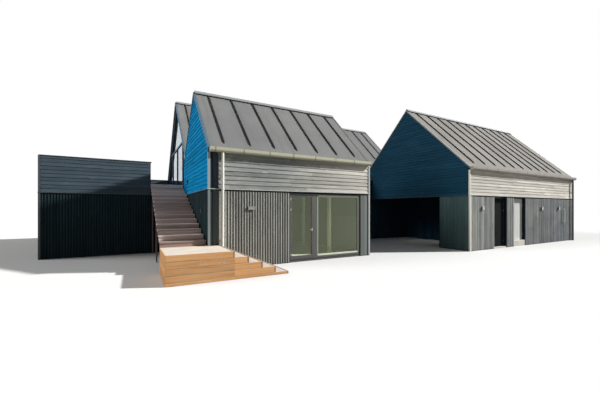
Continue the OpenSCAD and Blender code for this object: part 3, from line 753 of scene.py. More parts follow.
class House:
    """The blocks in plan, read from the frame, with the finishes that they share."""

    def __init__(self) -> None:
        """Reads the blocks' boxes."""
        self.wing_x, self.wing_y = self.plan("wing_gables")
        self.hall_x, self.hall_y = self.plan("hall_side_walls")
        self.annex_x, self.annex_y = self.plan("annex_gables")
        (self.terrace_x, _), (self.terrace_y, _) = self.plan("terrace_front_wall")
        parapet = self.plan("terrace_west_wall")[0]
        self.parapet_t = parapet[1] - parapet[0]
        self.finishes: dict[str, Material] = {}

    def plan(self, node: str) -> tuple[Span, Span]:
        """A node's start and end along X and along Y."""
        low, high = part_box(node)
        return (low.x, high.x), (low.y, high.y)

    def finish(self, style: Finish) -> Material:
        """Builds a finish once and hands it out after that.

        Args:
            style: The finish.

        Returns:
            Its material.
        """
        if style.name not in self.finishes:
            self.finishes[style.name] = style.material()
        return self.finishes[style.name]


@dataclass
class Assembly:
    """A part of the house that dresses its pieces and hands them to their body."""

    house: House
    body: str = "house"

    def build(self) -> None:
        """Builds the part's pieces."""
        raise NotImplementedError

    def keep(self, piece: Piece, slot: str, style: Finish, replaces: Sequence[str] = (),
             body: str | None = None) -> None:
        """Dresses a piece and lets it ride on its body.

        Args:
            piece: The finished mesh.
            slot: The record's material slot; not used.
            style: The finish.
            replaces: Nodes of the frame that the piece stands for.
            body: The body, where it isn't the assembly's own.
        """
        piece.data.materials.clear()
        piece.data.materials.append(self.house.finish(style))
        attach(piece, body or self.body)
        if replaces:
            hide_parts(*replaces)
        LOG.info("%s: %d faces", piece.name, len(piece.data.polygons))


@dataclass
class Cladding(Assembly):
    """Lapped boards above the drip flashing, upright boards under battens or flat boards below it."""

    pitch: float = 0.143
    lap: float = 0.032
    top: float = 0.014
    ease: float = 0.004
    slat_pitch: float = 0.0925
    slat_joint: float = 0.002
    slat_base: float = 0.008
    slat_ease: float = 0.003
    batten: Span = (0.026, 0.066)
    slat_t: float = 0.028
    # Painted shade on the battens' sides and on the boards between the battens, where their shade falls
    side_shade: float = 0.9
    gap_shade: float = 0.65
    board_w: float = 0.19
    board_t: float = 0.018
    joint: float = 0.003
    stub: float = 0.4
    shortest: float = 2.4
    longest: float = 4.8
    edge: float = 0.034
    tight: float = 0.004
    draw: random.Random = field(default_factory=lambda: random.Random(7))

    def lengths(self, start: float, end: float) -> list[Span]:
        """Splits one row into boards that butt at random places.

        Args:
            start: Where the row starts.
            end: Where it ends.

        Returns:
            Start and end of each board.
        """
        ends = [start]
        while end - ends[-1] > self.longest:
            ends.append(ends[-1] + self.draw.uniform(self.shortest, self.longest))
        if end - ends[-1] < self.stub and len(ends) > 1:
            ends.pop()
        ends.append(end)
        return [(a, b - self.joint) for a, b in zip(ends, ends[1:])]

    def lapped(self, name: str, faces: Face, low: float, high: float, span: Span,
               cuts: Sequence[Cut] = (), thin: float = 1.0) -> Piece:
        """Rows of lapped boards on a face.

        Args:
            name: The piece's name.
            faces: The wall's face.
            low: Foot of the lowest row.
            high: Top of the field.
            span: Start and end along the face.
            cuts: Planes that trim the field.
            thin: Share of the full thickness.

        Returns:
            The boards as one piece.
        """
        model = start_block("lapped_board", (0, -self.lap * thin, 0), (1, 0, self.pitch))
        outer, half = -self.lap * thin / 2, self.pitch / 2
        slide(model, lambda co: co.y < outer and co.z > half, (0, (self.lap - self.top) * thin, 0))
        bevel_where(model, lambda co: co.y < outer and co.z < half, self.ease)
        boards = []
        for row in range(math.ceil((high - low) / self.pitch)):
            for start, end in self.lengths(*span):
                place = stretch((start, 0, low + row * self.pitch), (end - start, 1, 1))
                board = place_copy(model, faces.matrix() @ place, self.draw.random())
                cut_away(board, [((0, 0, high), (0, 0, 1)), *cuts])
                if board.data.vertices:
                    boards.append(board)
                else:
                    drop(board)
        drop(model)
        return join(name, boards)

    def slat_model(self, low: float, high: float) -> Piece:
        """One upright board with a batten on its middle.

        Args:
            low: Foot of the board.
            high: Its top.

        Returns:
            The model, to be copied.
        """
        near, far = self.batten
        model = start_block("slat", (0, -self.slat_base, low), (self.slat_pitch - self.slat_joint, 0, high))
        activate(model)
        bpy.ops.object.mode_set(mode="EDIT")
        for side in self.batten:
            bpy.ops.mesh.select_all(action="SELECT")
            bpy.ops.mesh.bisect(plane_co=(side, 0, 0), plane_no=(1, 0, 0))
        leave_edit()
        pick(model, lambda co: near - NEAR < co.x < far + NEAR and co.y < -self.slat_base / 2, "FACE")
        bpy.ops.mesh.extrude_region_move(
            TRANSFORM_OT_translate={"value": (0, self.slat_base - self.slat_t, 0)})
        leave_edit()
        bevel_where(model, lambda co: co.y < NEAR - self.slat_t, self.slat_ease)
        # Painted shade: the battens' sides and the boards between them are darkened
        set_painted_shade(model, lambda face: self.side_shade if abs(face.normal.x) > SQUARE else
                    self.gap_shade if face.center.y > -self.slat_base - NEAR else 0.0)
        return model

    def flat_model(self, low: float, high: float) -> Piece:
        """One flat upright board with eased edges.

        Args:
            low: Foot of the board.
            high: Its top.

        Returns:
            The model, to be copied.
        """
        model = start_block("flat_board", (0, -self.board_t, low), (self.board_w - self.joint, 0, high))
        bevel_where(model, lambda co: co.y < -self.board_t / 2, self.ease)
        return model

    def upright(self, name: str, faces: Face, low: float, high: float, spans: Sequence[Span],
                flat: bool = False) -> Piece:
        """Upright boards side by side.

        Args:
            name: The piece's name.
            faces: The wall's face.
            low: Foot of the boards.
            high: Their top.
            spans: Start and end of each run along the face.
            flat: Whether the boards are flat, without battens.

        Returns:
            The boards as one piece.
        """
        model = self.flat_model(low, high) if flat else self.slat_model(low, high)
        step = self.board_w if flat else self.slat_pitch
        boards = []
        for start, end in spans:
            count = max(1, round((end - start) / step))
            pitch = (end - start) / count
            for index in range(count):
                place = stretch((start + index * pitch, 0, 0), (pitch / step, 1, 1))
                boards.append(place_copy(model, faces.matrix() @ place, self.draw.random()))
        drop(model)
        return join(name, boards)


# Linings of the rooms and the paler paint of some frames; the wing's room, seen through its glazing, takes a
# dim green lining, which is painted shade
ROOM = srgb(206, 204, 190)
SHADED_ROOM = srgb(132, 142, 118)
STEEL = srgb(214, 214, 208)
ROOMS = (Patch((0.249, 0.249, 0.0), (6.181, 5.161, 6.5), SHADED_ROOM),
         Patch((0.399, 5.409, 0.0), (14.401, 13.731, 8.2), ROOM),
         Patch((14.564, -1.101, 0.0), (21.486, 5.551, 7.5), ROOM),
         Patch((11.424, -1.101, 0.0), (14.316, -0.019, 7.0), ROOM))
# Shadow under the drip flashing of the fronts
UNDER_DRIP = Patch((-0.2, -1.6, 2.478), (22.0, 0.0, 2.53), srgb(46, 48, 48))
# Upright boards
SLATE_SLATS = BoardFinish("slate_slats", srgb(160, 161, 155), srgb(196, 195, 187), srgb(96, 98, 94),
                          Grain.UPRIGHT,
                          patches=(Patch((6.0, -0.1, 0.0), (6.43, 0.0, 2.478), srgb(128, 134, 132)),
                                   UNDER_DRIP))
# Painted shadow: flat boards at the wing's near corner take the dark of the downpipe's shadow, darkest on the
# strip next to the corner, which the key lights
CORNER_SHADOW_BOARDS = BoardFinish("corner_board", srgb(58, 68, 78), srgb(70, 80, 88), srgb(40, 48, 56),
                           Grain.UPRIGHT, tone=0.0, knots=0.2,
                           patches=(Patch((0.0, -0.1, 0.0), (0.118, 0.0, 3.8), srgb(36, 42, 48)),
                                    Patch((0.0, -0.1, 0.0), (0.118, 0.0, 2.53), srgb(48, 55, 56)),
                                    Patch((0.118, -0.1, 0.0), (0.3, 0.0, 2.53), srgb(78, 88, 88))))
# Dark weathered slats with the blue of their shade painted into their colour
SHADED_NAVY_SLATS = BoardFinish("navy_slats", srgb(40, 58, 64), srgb(58, 78, 84), srgb(18, 30, 36), Grain.UPRIGHT)
GREEN_SLATS = BoardFinish("green_slats", srgb(74, 96, 97), srgb(90, 110, 110), srgb(46, 60, 62),
                          Grain.UPRIGHT, knots=0.2)
# The recess's dark boards, with the blue of the recess's deep shade painted in
SHADED_RECESS_SLATS = BoardFinish("recess_slats", srgb(38, 66, 82), srgb(50, 80, 96), srgb(22, 44, 56),
                           Grain.UPRIGHT, knots=0.1)
ANNEX_SLATS = BoardFinish("annex_slats", srgb(168, 174, 176), srgb(228, 229, 222), srgb(106, 112, 115),
                          Grain.UPRIGHT, tone=0.32, knots=0.8, clouds=0.6, pale_along_x=(16.5, 12.0),
                          patches=(UNDER_DRIP,))
BACK_BOARD = BoardFinish("backing", srgb(20, 38, 50), srgb(30, 50, 62), srgb(12, 24, 34),
                         Grain.UPRIGHT, tone=0.0, patches=ROOMS)
# Lapped boards
SILVER_BOARDS = BoardFinish("silver_boards", srgb(132, 138, 136), srgb(230, 224, 213), srgb(86, 88, 84),
                            Grain.LEVEL, clouds=0.2, pale_along_x=(2.2, 6.0))
PALE_BOARDS = BoardFinish("pale_boards", srgb(222, 216, 205), srgb(240, 235, 226), srgb(134, 122, 106),
                          Grain.LEVEL)
# Blue and navy boards: dark weathered boards with the sky's blue light of the gables' shade painted into
# their colour; the east gables, which the key lights, take the same navy
SKYLIT_BLUE_BOARDS = BoardFinish("blue_boards", srgb(4, 134, 190), srgb(24, 162, 214), srgb(2, 76, 120),
                          Grain.LEVEL, tone=0.2, knots=0.3, sheen=0.04)
SHADED_NAVY_BOARDS = BoardFinish("navy_boards", srgb(18, 58, 78), srgb(28, 70, 92), srgb(8, 36, 52),
                          Grain.LEVEL, tone=0.12, knots=0.3)
PARAPET_BOARDS = BoardFinish("parapet_boards", srgb(72, 86, 96), srgb(98, 110, 116), srgb(44, 54, 62),
                             Grain.LEVEL)
# Doors
DARK_DOOR = BoardFinish("dark_door", srgb(20, 27, 26), srgb(28, 36, 34), srgb(10, 14, 14),
                        Grain.UPRIGHT, tone=0.1, sheen=0.05,
                        patches=(Patch((0, -5, 0), (30, -1.2355, 3), srgb(52, 56, 56)),))
GREY_DOOR = BoardFinish("grey_door", srgb(218, 219, 214), srgb(232, 232, 228), srgb(182, 182, 176),
                        Grain.UPRIGHT, tone=0.08, knots=0.1,
                        patches=(Patch((0, -5, 0), (30, -1.2355, 3), STEEL),))
# Floors, stair and steps
FLOOR_WOOD = BoardFinish("floor_wood", srgb(214, 204, 186), srgb(230, 222, 206), srgb(180, 166, 146),
                         Grain.ALONG_X, cells=(2.2, 0.14, 9.0))
DECKING = BoardFinish("deck_boards", srgb(158, 146, 132), srgb(184, 174, 160), srgb(112, 100, 88),
                      Grain.ALONG_X)
# Painted shade on the lowest tread and riser, which the key lights while the rest of the stair lies in the
# wing's shadow
KEY_LIT_STEP_SHADE = Patch((-1.5, 0.1, 0.7), (0.0, 0.6, 0.94), srgb(138, 120, 113))
TREAD_WOOD = BoardFinish("tread_wood", srgb(212, 194, 188), srgb(234, 220, 214), srgb(160, 140, 134),
                         Grain.ALONG_X, tone=0.34, patches=(KEY_LIT_STEP_SHADE,))
RISER_WOOD = BoardFinish("riser_wood", srgb(216, 196, 190), srgb(232, 216, 210), srgb(164, 144, 138),
                         Grain.ALONG_X, tone=0.3, patches=(KEY_LIT_STEP_SHADE,))
STRING_WOOD = BoardFinish("string_wood", srgb(150, 130, 122), srgb(176, 158, 150), srgb(104, 86, 80),
                          Grain.ALONG_Y, tone=0.0)
EDGE_WOOD = BoardFinish("edge_wood", srgb(222, 164, 108), srgb(240, 198, 150), srgb(170, 112, 68),
                        Grain.ALONG_X, sanded=srgb(196, 184, 168))
NOSE_WOOD = BoardFinish("nose_wood", srgb(158, 132, 112), srgb(188, 164, 144), srgb(110, 86, 70),
                        Grain.ALONG_Y)
CONCRETE = StoneFinish("concrete", srgb(222, 218, 208), srgb(192, 186, 174))
FILL = StoneFinish("packed_fill", srgb(200, 191, 179), srgb(174, 164, 151))
# Roofing felt
FELT = FeltFinish("roof_felt", srgb(111, 112, 111), srgb(128, 128, 126), srgb(88, 89, 88))
PALE_FELT = FeltFinish("annex_felt", srgb(128, 125, 120), srgb(152, 148, 143), srgb(101, 99, 96))
BLACK_FELT = FeltFinish("batten_felt", srgb(26, 27, 28), srgb(38, 38, 38), srgb(14, 14, 16))
# Gutters, pipes and sheet metal
GUTTER_RUNS = (((0.15, -0.3, 3.0), (6.4, 0.1, 4.0)), ((6.645, 4.8, 3.0), (11.1, 5.3, 4.0)),
               ((11.325, -1.7, 3.0), (21.7, -1.2, 4.0)))
STRAPS = tuple(Bands(low, high, srgb(112, 98, 84), pitch=0.9, width=0.025) for low, high in GUTTER_RUNS)
ZINC = MetalFinish("zinc", srgb(178, 176, 152), srgb(150, 146, 126), metallic=0.1, rough=0.55,
                   patches=(Patch((11, -5, 0), (30, 20, 9), srgb(152, 146, 136)), *STRAPS))
PIPE_ZINC = MetalFinish("pipe_zinc", srgb(230, 228, 216), srgb(206, 204, 192),
                        patches=(Patch((10.5, -5, 0), (30, 20, 9), srgb(66, 70, 70)),))
DARK_SHEET = MetalFinish("dark_sheet", srgb(46, 50, 54), srgb(70, 72, 74), rough=0.6,
                         patches=(Patch((-1, -3, 5), (30, 16, 9), srgb(126, 129, 129)),))
# Trims, whose colour turns with the light on each corner
TRIM = MetalFinish("pale_trim", srgb(184, 188, 184), srgb(150, 154, 152), rough=0.55,
                   patches=(Patch((-6, 5, 0), (-0.02, 15, 2.6), srgb(40, 44, 48)),
                            Patch((-6, 5, 2.6), (-4, 15, 4), srgb(50, 54, 58)),
                            Patch((-0.08, -0.02, 2.4), (-0.03, 5.4, 2.6), srgb(70, 110, 130)),
                            Patch((-0.08, -0.08, 3.7), (0.2, 15, 9), srgb(36, 74, 94)),
                            Patch((-0.08, -0.08, 0), (0.1, 0.1, 2.519), srgb(112, 120, 122)),
                            Patch((-0.08, -0.08, 2.543), (0.1, 0.1, 3.7), srgb(140, 156, 164)),
                            Patch((-0.08, -0.04, 0), (-0.0446, 0.2, 2.519), srgb(28, 40, 46)),
                            Patch((11.1, -1.45, 0), (11.3, -1.33, 3.7), srgb(226, 222, 210)),
                            Patch((11.05, -1.5, 3.75), (11.4, 6, 9), srgb(118, 115, 110)),
                            Patch((21.6, -1.45, 0), (21.82, -1.2, 2.519), srgb(196, 204, 194)),
                            Patch((21.6, -1.45, 2.543), (21.82, -1.2, 3.7), srgb(84, 92, 90)),
                            Patch((20.2, -1.52, 1.0), (20.5, -1.36, 2.0), srgb(240, 242, 238)),
                            Patch((6.3, -0.2, 3.7), (6.6, 15, 9), srgb(72, 74, 74)),
                            Patch((14.4, 5, 3.7), (14.9, 15, 9), srgb(72, 74, 74)),
                            Patch((11.0, -1.33, 0.0), (11.14, 6, 2.6), srgb(28, 46, 54))))
# Painted frames, posts and lamps
FRAME_PAINT = MetalFinish("frame_paint", srgb(86, 83, 80), srgb(66, 64, 62),
                          patches=(Patch((2, -1, 0), (7, 0.0195, 3), STEEL),
                                   Patch((3.9495, 0.0395, 0.15), (5.951, 0.1045, 2.5), srgb(222, 224, 196))))
GABLE_PAINT = MetalFinish("gable_paint", srgb(10, 58, 92), srgb(8, 42, 68), rough=0.6)
JAMB_PAINT = MetalFinish("jamb_paint", srgb(40, 44, 44), srgb(28, 32, 32),
                         patches=(Patch((0, -5, 0), (30, -1.2305, 3), STEEL),))
# Cream beads, the left one painted grey-green as painted shade
BEAD_PAINT = MetalFinish("bead_paint", srgb(226, 230, 206), srgb(204, 208, 186),
                         patches=(Patch((3.94, -0.1, 0), (4.012, 0.1, 3), srgb(142, 152, 144)),))
POST_PAINT = MetalFinish("post_paint", srgb(236, 240, 214), srgb(214, 218, 190))
# Lamps, with painted shade on their sides that look west or down
LAMP_PAINT = MetalFinish("lamp_paint", srgb(184, 189, 186), srgb(156, 160, 158),
                         patches=(Patch((-1, 0.5, 0), (-0.01, 5, 4), srgb(10, 16, 24)),
                                  Patch((1.0, -0.3, 1.907), (1.8, -0.01, 2.1), srgb(138, 141, 138))),
                         shaded_face=srgb(22, 26, 28))
LENS = MetalFinish("lamp_lens", srgb(236, 234, 222), srgb(214, 212, 200), rough=0.35)
# Painted reflection: the gloss is tinted yellow-green, and the hall's gable glass is tinted blue in colour
# and gloss
GLAZING = GlassFinish("glazing", (0.93, 0.98, 0.88, 1.0), (0.9, 0.98, 0.72, 1.0), 1.6,
                      patches=(Patch((-0.5, 5.4, 2.5), (2.0, 15.0, 9.0), (0.55, 0.8, 1.0, 1.0)),))

NODE_FINISHES = {
    BACK_BOARD: ("wing_gables", "wing_front_walls", "wing_front_head", "hall_side_walls",
                 "hall_east_gable", "hall_west_base", "annex_gables", "annex_side_panel",
                 "annex_front_walls", "annex_front_head", "annex_far_wall", "recess_back_wall",
                 "recess_side_wall", "recess_ceiling", "terrace_front_wall", "terrace_west_wall",
                 "terrace_far_wall"),
    FRAME_PAINT: ("wing_glazing_frame", "wing_door"),
    GABLE_PAINT: ("hall_gable_frame",),
    JAMB_PAINT: ("annex_door_frames",),
    GLAZING: ("wing_door_glass", "window_glass"),
    POST_PAINT: ("inner_posts",),
    FELT: ("wing_roof_front", "wing_roof_back", "hall_roof_front", "hall_roof_back"),
    PALE_FELT: ("annex_roof_front", "annex_roof_back"),
    BLACK_FELT: ("roof_battens",),
    DARK_SHEET: ("roof_flashings",),
    FLOOR_WOOD: ("hall_upper_floor",),
    CONCRETE: ("annex_sills", "ground_floors"),
    DARK_DOOR: ("annex_dark_door",),
    GREY_DOOR: ("annex_grey_door",),
    DECKING: ("terrace_deck",),
    STRING_WOOD: ("stair_stringers",),
    TREAD_WOOD: ("stair_treads",),
    RISER_WOOD: ("stair_risers",),
    EDGE_WOOD: ("landing", "garden_steps"),
    ZINC: ("gutters",),
    PIPE_ZINC: ("downpipes",),
    TRIM: ("wall_trims", "wall_rail"),
    LAMP_PAINT: ("wall_lamps",),
}


@dataclass
class Walls(Cladding):
    """The boards of every wall, face by face."""

    inner: float = 0.045
    parapet_gap: float = 0.055
    corner: float = 0.28
    frame_gap: float = 0.012
    frame_w: float = 0.046
    pier_gap: float = 0.016
    over_roof: float = 0.03
    ceiling_gap: float = 0.006

    def faced(self, name: str, slot: str, faces: Face, styles: tuple[Finish, Finish], span: Span,
              runs: Sequence[Span] | None = None, cuts: Sequence[Cut] = (),
              high: float = LEVELS.board_top, flat: bool = False) -> None:
        """Clads one face: upright boards below the drip flashing and lapped boards above it.

        Args:
            name: What the face is called.
            slot: The record's slot for the lapped boards.
            faces: The face.
            styles: Finish of the lapped boards and of the upright ones.
            span: Run of the lapped boards.
            runs: Runs of the upright boards, where they differ from that.
            cuts: Planes that trim the lapped boards.
            high: Top of the lapped boards.
            flat: Whether the upright boards are flat.
        """
        upper, lower = styles
        boards = self.lapped(name + "_boards", faces, LEVELS.drip_top, high, span, cuts)
        self.keep(boards, slot, upper)
        slats = self.upright(name + "_slats", faces, LEVELS.foot, LEVELS.slat_top, runs or [span], flat)
        self.keep(slats, "black_boards", lower)

    def nib(self, name: str, faces: Face, slope: Cut, side: int, reach: float, high: float) -> None:
        """Boards the part of a gable that looks over the roof in front of it.

        Args:
            name: The piece's name.
            faces: The gable's face, which starts at that roof's eave.
            slope: The plane under the gable's own roof.
            side: 1 where the roof in front rises towards +Y, or -1.
            reach: How far the gable runs on behind that roof.
            high: Top of the gable's boards.
        """
        roof = ((faces.x, faces.y, LEVELS.eave + self.over_roof), (0, side * LEVELS.rise, -1))
        boards = self.lapped(name, faces, LEVELS.drip_top, high, (-reach / 2, self.inner), [slope, roof])
        self.keep(boards, "navy_boards", SHADED_NAVY_BOARDS)

    def build(self) -> None:
        """Clads the three blocks."""
        self.wing()
        self.hall()
        self.annex()

    def wing(self) -> None:
        """Clads the wing's front and both gables."""
        (x0, x1), (y0, y1) = self.house.wing_x, self.house.wing_y
        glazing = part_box("wing_glazing_frame")
        slopes, apex = gable_cuts(x0, y0, y1)
        front = Face(x0, y0, 0, x1 - x0)
        self.faced("wing_front", "grey_boards", front, (SILVER_BOARDS, SLATE_SLATS),
                   front.inset(self.corner, self.edge), [(self.corner, glazing[0].x - x0 - self.frame_gap)])
        # Flat boards at the near corner, which carry the downpipe's painted shadow
        for part, low, high in (("lower", LEVELS.foot, LEVELS.slat_top),
                                ("upper", LEVELS.drip_top, LEVELS.board_top)):
            board = self.upright("wing_corner_" + part, front, low, high, [(self.edge, self.corner)],
                                 flat=True)
            self.keep(board, "black_boards", CORNER_SHADOW_BOARDS)
        run = (glazing[1].x - x0 + self.frame_gap, front.length - self.edge - self.pier_gap)
        pier = self.upright("wing_front_pier", front, LEVELS.foot, LEVELS.slat_top, [run], flat=True)
        self.keep(pier, "black_boards", SLATE_SLATS)
        west, east = Face(x0, y1, -90, y1 - y0), Face(x1, y0, 90, y1 - y0)
        self.faced("wing_west", "blue_boards", west, (SKYLIT_BLUE_BOARDS, SHADED_NAVY_SLATS),
                   west.inset(self.parapet_gap, self.edge), cuts=slopes, high=apex)
        self.faced("wing_east", "blue_boards", east, (SHADED_NAVY_BOARDS, SHADED_NAVY_SLATS),
                   east.inset(self.edge, self.inner), cuts=slopes, high=apex)

    def hall(self) -> None:
        """Clads the hall's yard wall, far wall and east gable."""
        (x0, x1), (y0, y1) = self.house.hall_x, self.house.hall_y
        start, back = self.house.wing_x[1], self.house.annex_y[1]
        yard = Face(start, y0, 0, self.house.annex_x[0] - start)
        run = (self.inner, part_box("recess_back_wall")[0].x - start - self.inner)
        self.faced("hall_yard", "navy_boards", yard, (SHADED_NAVY_BOARDS, SHADED_RECESS_SLATS),
                   yard.inset(self.inner, self.inner), [run], flat=True)
        far = Face(x1, y1, 180, x1 - x0)
        self.faced("hall_far", "silver_boards", far, (SILVER_BOARDS, SLATE_SLATS),
                   far.inset(self.edge, self.tight))
        slopes, apex = gable_cuts(x1, y0, y1)
        east = Face(x1, back, 90, y1 - back)
        self.faced("hall_east", "navy_boards", east, (SHADED_NAVY_BOARDS, SHADED_NAVY_SLATS),
                   east.inset(self.inner, self.edge), cuts=slopes, high=apex)
        self.nib("hall_east_nib", east, slopes[0], -1, back - y0, apex)

    def annex(self) -> None:
        """Clads the annex's four sides and the covered recess."""
        (x0, x1), (y0, y1) = self.house.annex_x, self.house.annex_y
        hall, start = self.house.hall_y[0], self.house.hall_x[1]
        dark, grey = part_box("annex_dark_door"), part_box("annex_grey_door")
        sills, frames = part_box("annex_sills"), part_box("annex_door_frames")
        slopes, apex = gable_cuts(x0, y0, y1)
        pier = (self.pier_edge(dark[1].x), self.pier_edge(grey[0].x, -1))
        front = Face(x0, y0, 0, x1 - x0)
        self.faced("annex_front", "silver_boards", front, (PALE_BOARDS, ANNEX_SLATS),
                   front.inset(self.edge, self.edge),
                   [(self.edge, frames[0].x - x0 - self.frame_gap), (pier[0] - x0, pier[1] - x0),
                    (sills[1].x - x0 + self.frame_gap, front.length - self.edge)])
        west = Face(x0, hall, -90, hall - y0)
        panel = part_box("annex_side_panel")[1].y
        self.faced("annex_west", "navy_boards", west, (SHADED_NAVY_BOARDS, GREEN_SLATS),
                   west.inset(self.inner, self.edge), [west.inset(hall - panel + self.edge, self.edge)],
                   slopes, apex, flat=True)
        self.nib("annex_west_nib", west, slopes[1], 1, y1 - hall, apex)
        east = Face(x1, y0, 90, y1 - y0)
        self.faced("annex_east", "navy_boards", east, (SHADED_NAVY_BOARDS, SHADED_NAVY_SLATS),
                   east.inset(self.edge, self.edge), cuts=slopes, high=apex)
        far = Face(x1, y1, 180, x1 - start)
        self.faced("annex_far", "silver_boards", far, (PALE_BOARDS, ANNEX_SLATS),
                   far.inset(self.edge, self.inner))
        self.recess(panel)

    def pier_edge(self, leaf_edge: float, side: int = 1) -> float:
        """Where the boards of the pier between the doorways start, past a leaf's frame."""
        return leaf_edge + side * (self.frame_w + self.frame_gap)

    def recess(self, panel: float) -> None:
        """Lines the covered recess with dark flat boards.

        Args:
            panel: The recess's near side.
        """
        x0, hall = self.house.annex_x[0], self.house.hall_y[0]
        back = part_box("recess_back_wall")[0].x
        sides = {"recess_back_boards": (Face(back, hall, -90, hall - panel), self.inner),
                 "recess_side_boards": (Face(back, panel, 180, back - x0), self.tight)}
        for name, (faces, gap) in sides.items():
            boards = self.upright(name, faces, LEVELS.foot, LEVELS.drip_low - self.ceiling_gap,
                                  [faces.inset(gap, gap)], flat=True)
            self.keep(boards, "black_boards", SHADED_RECESS_SLATS)


@dataclass
class Terrace(Cladding):
    """Parapet boards inside and out, upright boards under them and the boards of the deck."""

    thin: float = 0.7
    inner_edge: float = 0.03
    stair_gap: float = 0.002
    plank_w: float = 0.12
    plank_gap: float = 0.006
    plank_t: float = 0.028
    bed_low: float = 2.89
    bed_top: float = 2.955
    bed_ease: float = 0.003

    def build(self) -> None:
        """Clads the terrace's walls and boards its deck."""
        x0, y0, thick = self.house.terrace_x, self.house.terrace_y, self.house.parapet_t
        y1, hall = self.house.hall_y[1], self.house.hall_x[0]
        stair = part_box("stair_treads")[0].x
        outer = {"front": Face(x0, y0, 0, stair - x0), "west": Face(x0, y1, -90, y1 - y0),
                 "far": Face(hall, y1, 180, hall - x0)}
        inner = {"front_inner": Face(stair, y0 + thick, 180, stair - x0 - thick),
                 "west_inner": Face(x0 + thick, y0 + thick, 90, y1 - y0 - 2 * thick),
                 "far_inner": Face(x0 + thick, y1 - thick, 0, hall - x0 - thick)}
        for name, faces in outer.items():
            span = faces.inset(self.tight if name == "far" else self.edge,
                               self.stair_gap if name == "front" else self.edge)
            slot = "navy_boards" if name == "far" else "grey_boards"
            boards = self.lapped(f"terrace_{name}_boards", faces, LEVELS.drip_top, LEVELS.parapet, span,
                                 thin=self.thin)
            self.keep(boards, slot, PARAPET_BOARDS)
            slats = self.upright(f"terrace_{name}_slats", faces, LEVELS.foot, LEVELS.slat_top, [span])
            self.keep(slats, "black_boards", SHADED_NAVY_SLATS)
        for name, faces in inner.items():
            boards = self.lapped("terrace_" + name, faces, LEVELS.deck, LEVELS.parapet,
                                 faces.inset(self.inner_edge, self.inner_edge), thin=self.thin)
            self.keep(boards, "grey_boards", PARAPET_BOARDS)
        self.deck((x0 + thick, hall), (y0 + thick, y1 - thick), stair)

    def deck(self, across: Span, along: Span, stair: float) -> None:
        """Lays the deck's boards on a dark bed.

        Args:
            across: The deck's start and end along X.
            along: Its start and end along Y.
            stair: The stair's far side, where the top landing begins.
        """
        wing, step = self.house.wing_x[0], self.plank_w + self.plank_gap
        model = start_block("plank", (0, 0, LEVELS.deck - self.plank_t), (1, self.plank_w, LEVELS.deck))
        soften(model, self.ease, 1)
        planks = []
        runs = [(across, along[0] + row * step) for row in range(int((along[1] - along[0]) / step))]
        runs.append(((stair, wing), along[0] - self.plank_w - self.plank_gap))
        for (start_x, end_x), place_y in runs:
            for start, end in self.lengths(start_x, wing if place_y < self.house.hall_y[0] else end_x):
                place = stretch((start, place_y, 0), (end - start, 1, 1))
                planks.append(place_copy(model, place, self.draw.random()))
        drop(model)
        self.keep(join("deck_planks", planks), "deck_boards", DECKING, replaces=("terrace_deck",))
        areas = (((across[0], along[0]), (wing, along[1])),
                 ((stair, along[0] - self.house.parapet_t), (wing, along[0])),
                 ((wing, self.house.hall_y[0]), (across[1], along[1])))
        beds = [start_block("bed", (*low, self.bed_low), (*high, self.bed_top)) for low, high in areas]
        bed = soften(join("deck_bed", beds), self.bed_ease, 1)
        set_tone(bed.data, MIDDLE_TONE)
        self.keep(bed, "deck_boards", BACK_BOARD)


@dataclass
class Stair(Assembly):
    """Treads of two planks and one-plank risers on the cut strings."""

    risers: int = 14
    nosing: float = 0.02
    tread_t: float = 0.045
    board_t: float = 0.03
    gap: float = 0.006
    play: float = 0.001
    ease: float = 0.005
    riser_ease: float = 0.002
    draw: random.Random = field(default_factory=lambda: random.Random(5))

    def build(self) -> None:
        """Lays the planks."""
        (x0, _, _), (x1, _, _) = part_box("stair_treads")
        foot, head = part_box("landing")[1].y, self.house.terrace_y
        going = (head - foot) / (self.risers - 1)
        rise = (LEVELS.deck - LEVELS.landing) / self.risers
        wide = (going + self.nosing - self.gap) / 2
        plank = soften(start_block("plank", (x0, 0, -self.tread_t), (x1, wide - self.play, 0)), self.ease)
        riser = soften(start_block("riser", (x0, 0, 0), (x1, self.board_t, 1)), self.riser_ease, 1)
        treads, boards = [], []
        for step in range(1, self.risers):
            front = foot + (step - 1) * going
            top = LEVELS.landing + step * rise
            for half in range(2):
                place = Matrix.Translation((0, front - self.nosing + half * (wide + self.gap), top))
                treads.append(place_copy(plank, place, self.draw.random()))
            low = top - rise - (self.tread_t if step > 1 else 0)
            high = top - self.tread_t - self.play
            boards.append(place_copy(riser, stretch((0, front, low), (1, 1, high - low)), self.draw.random()))
        place = stretch((0, head - self.board_t, LEVELS.deck - rise + self.play), (1, 1, rise))
        boards.append(place_copy(riser, place, self.draw.random()))
        drop(plank)
        drop(riser)
        for name, planks, style, node in (("stair_planks", treads, TREAD_WOOD, "stair_treads"),
                                          ("stair_riser_boards", boards, RISER_WOOD, "stair_risers")):
            self.keep(join(name, planks), "stair_timber", style, replaces=(node,))


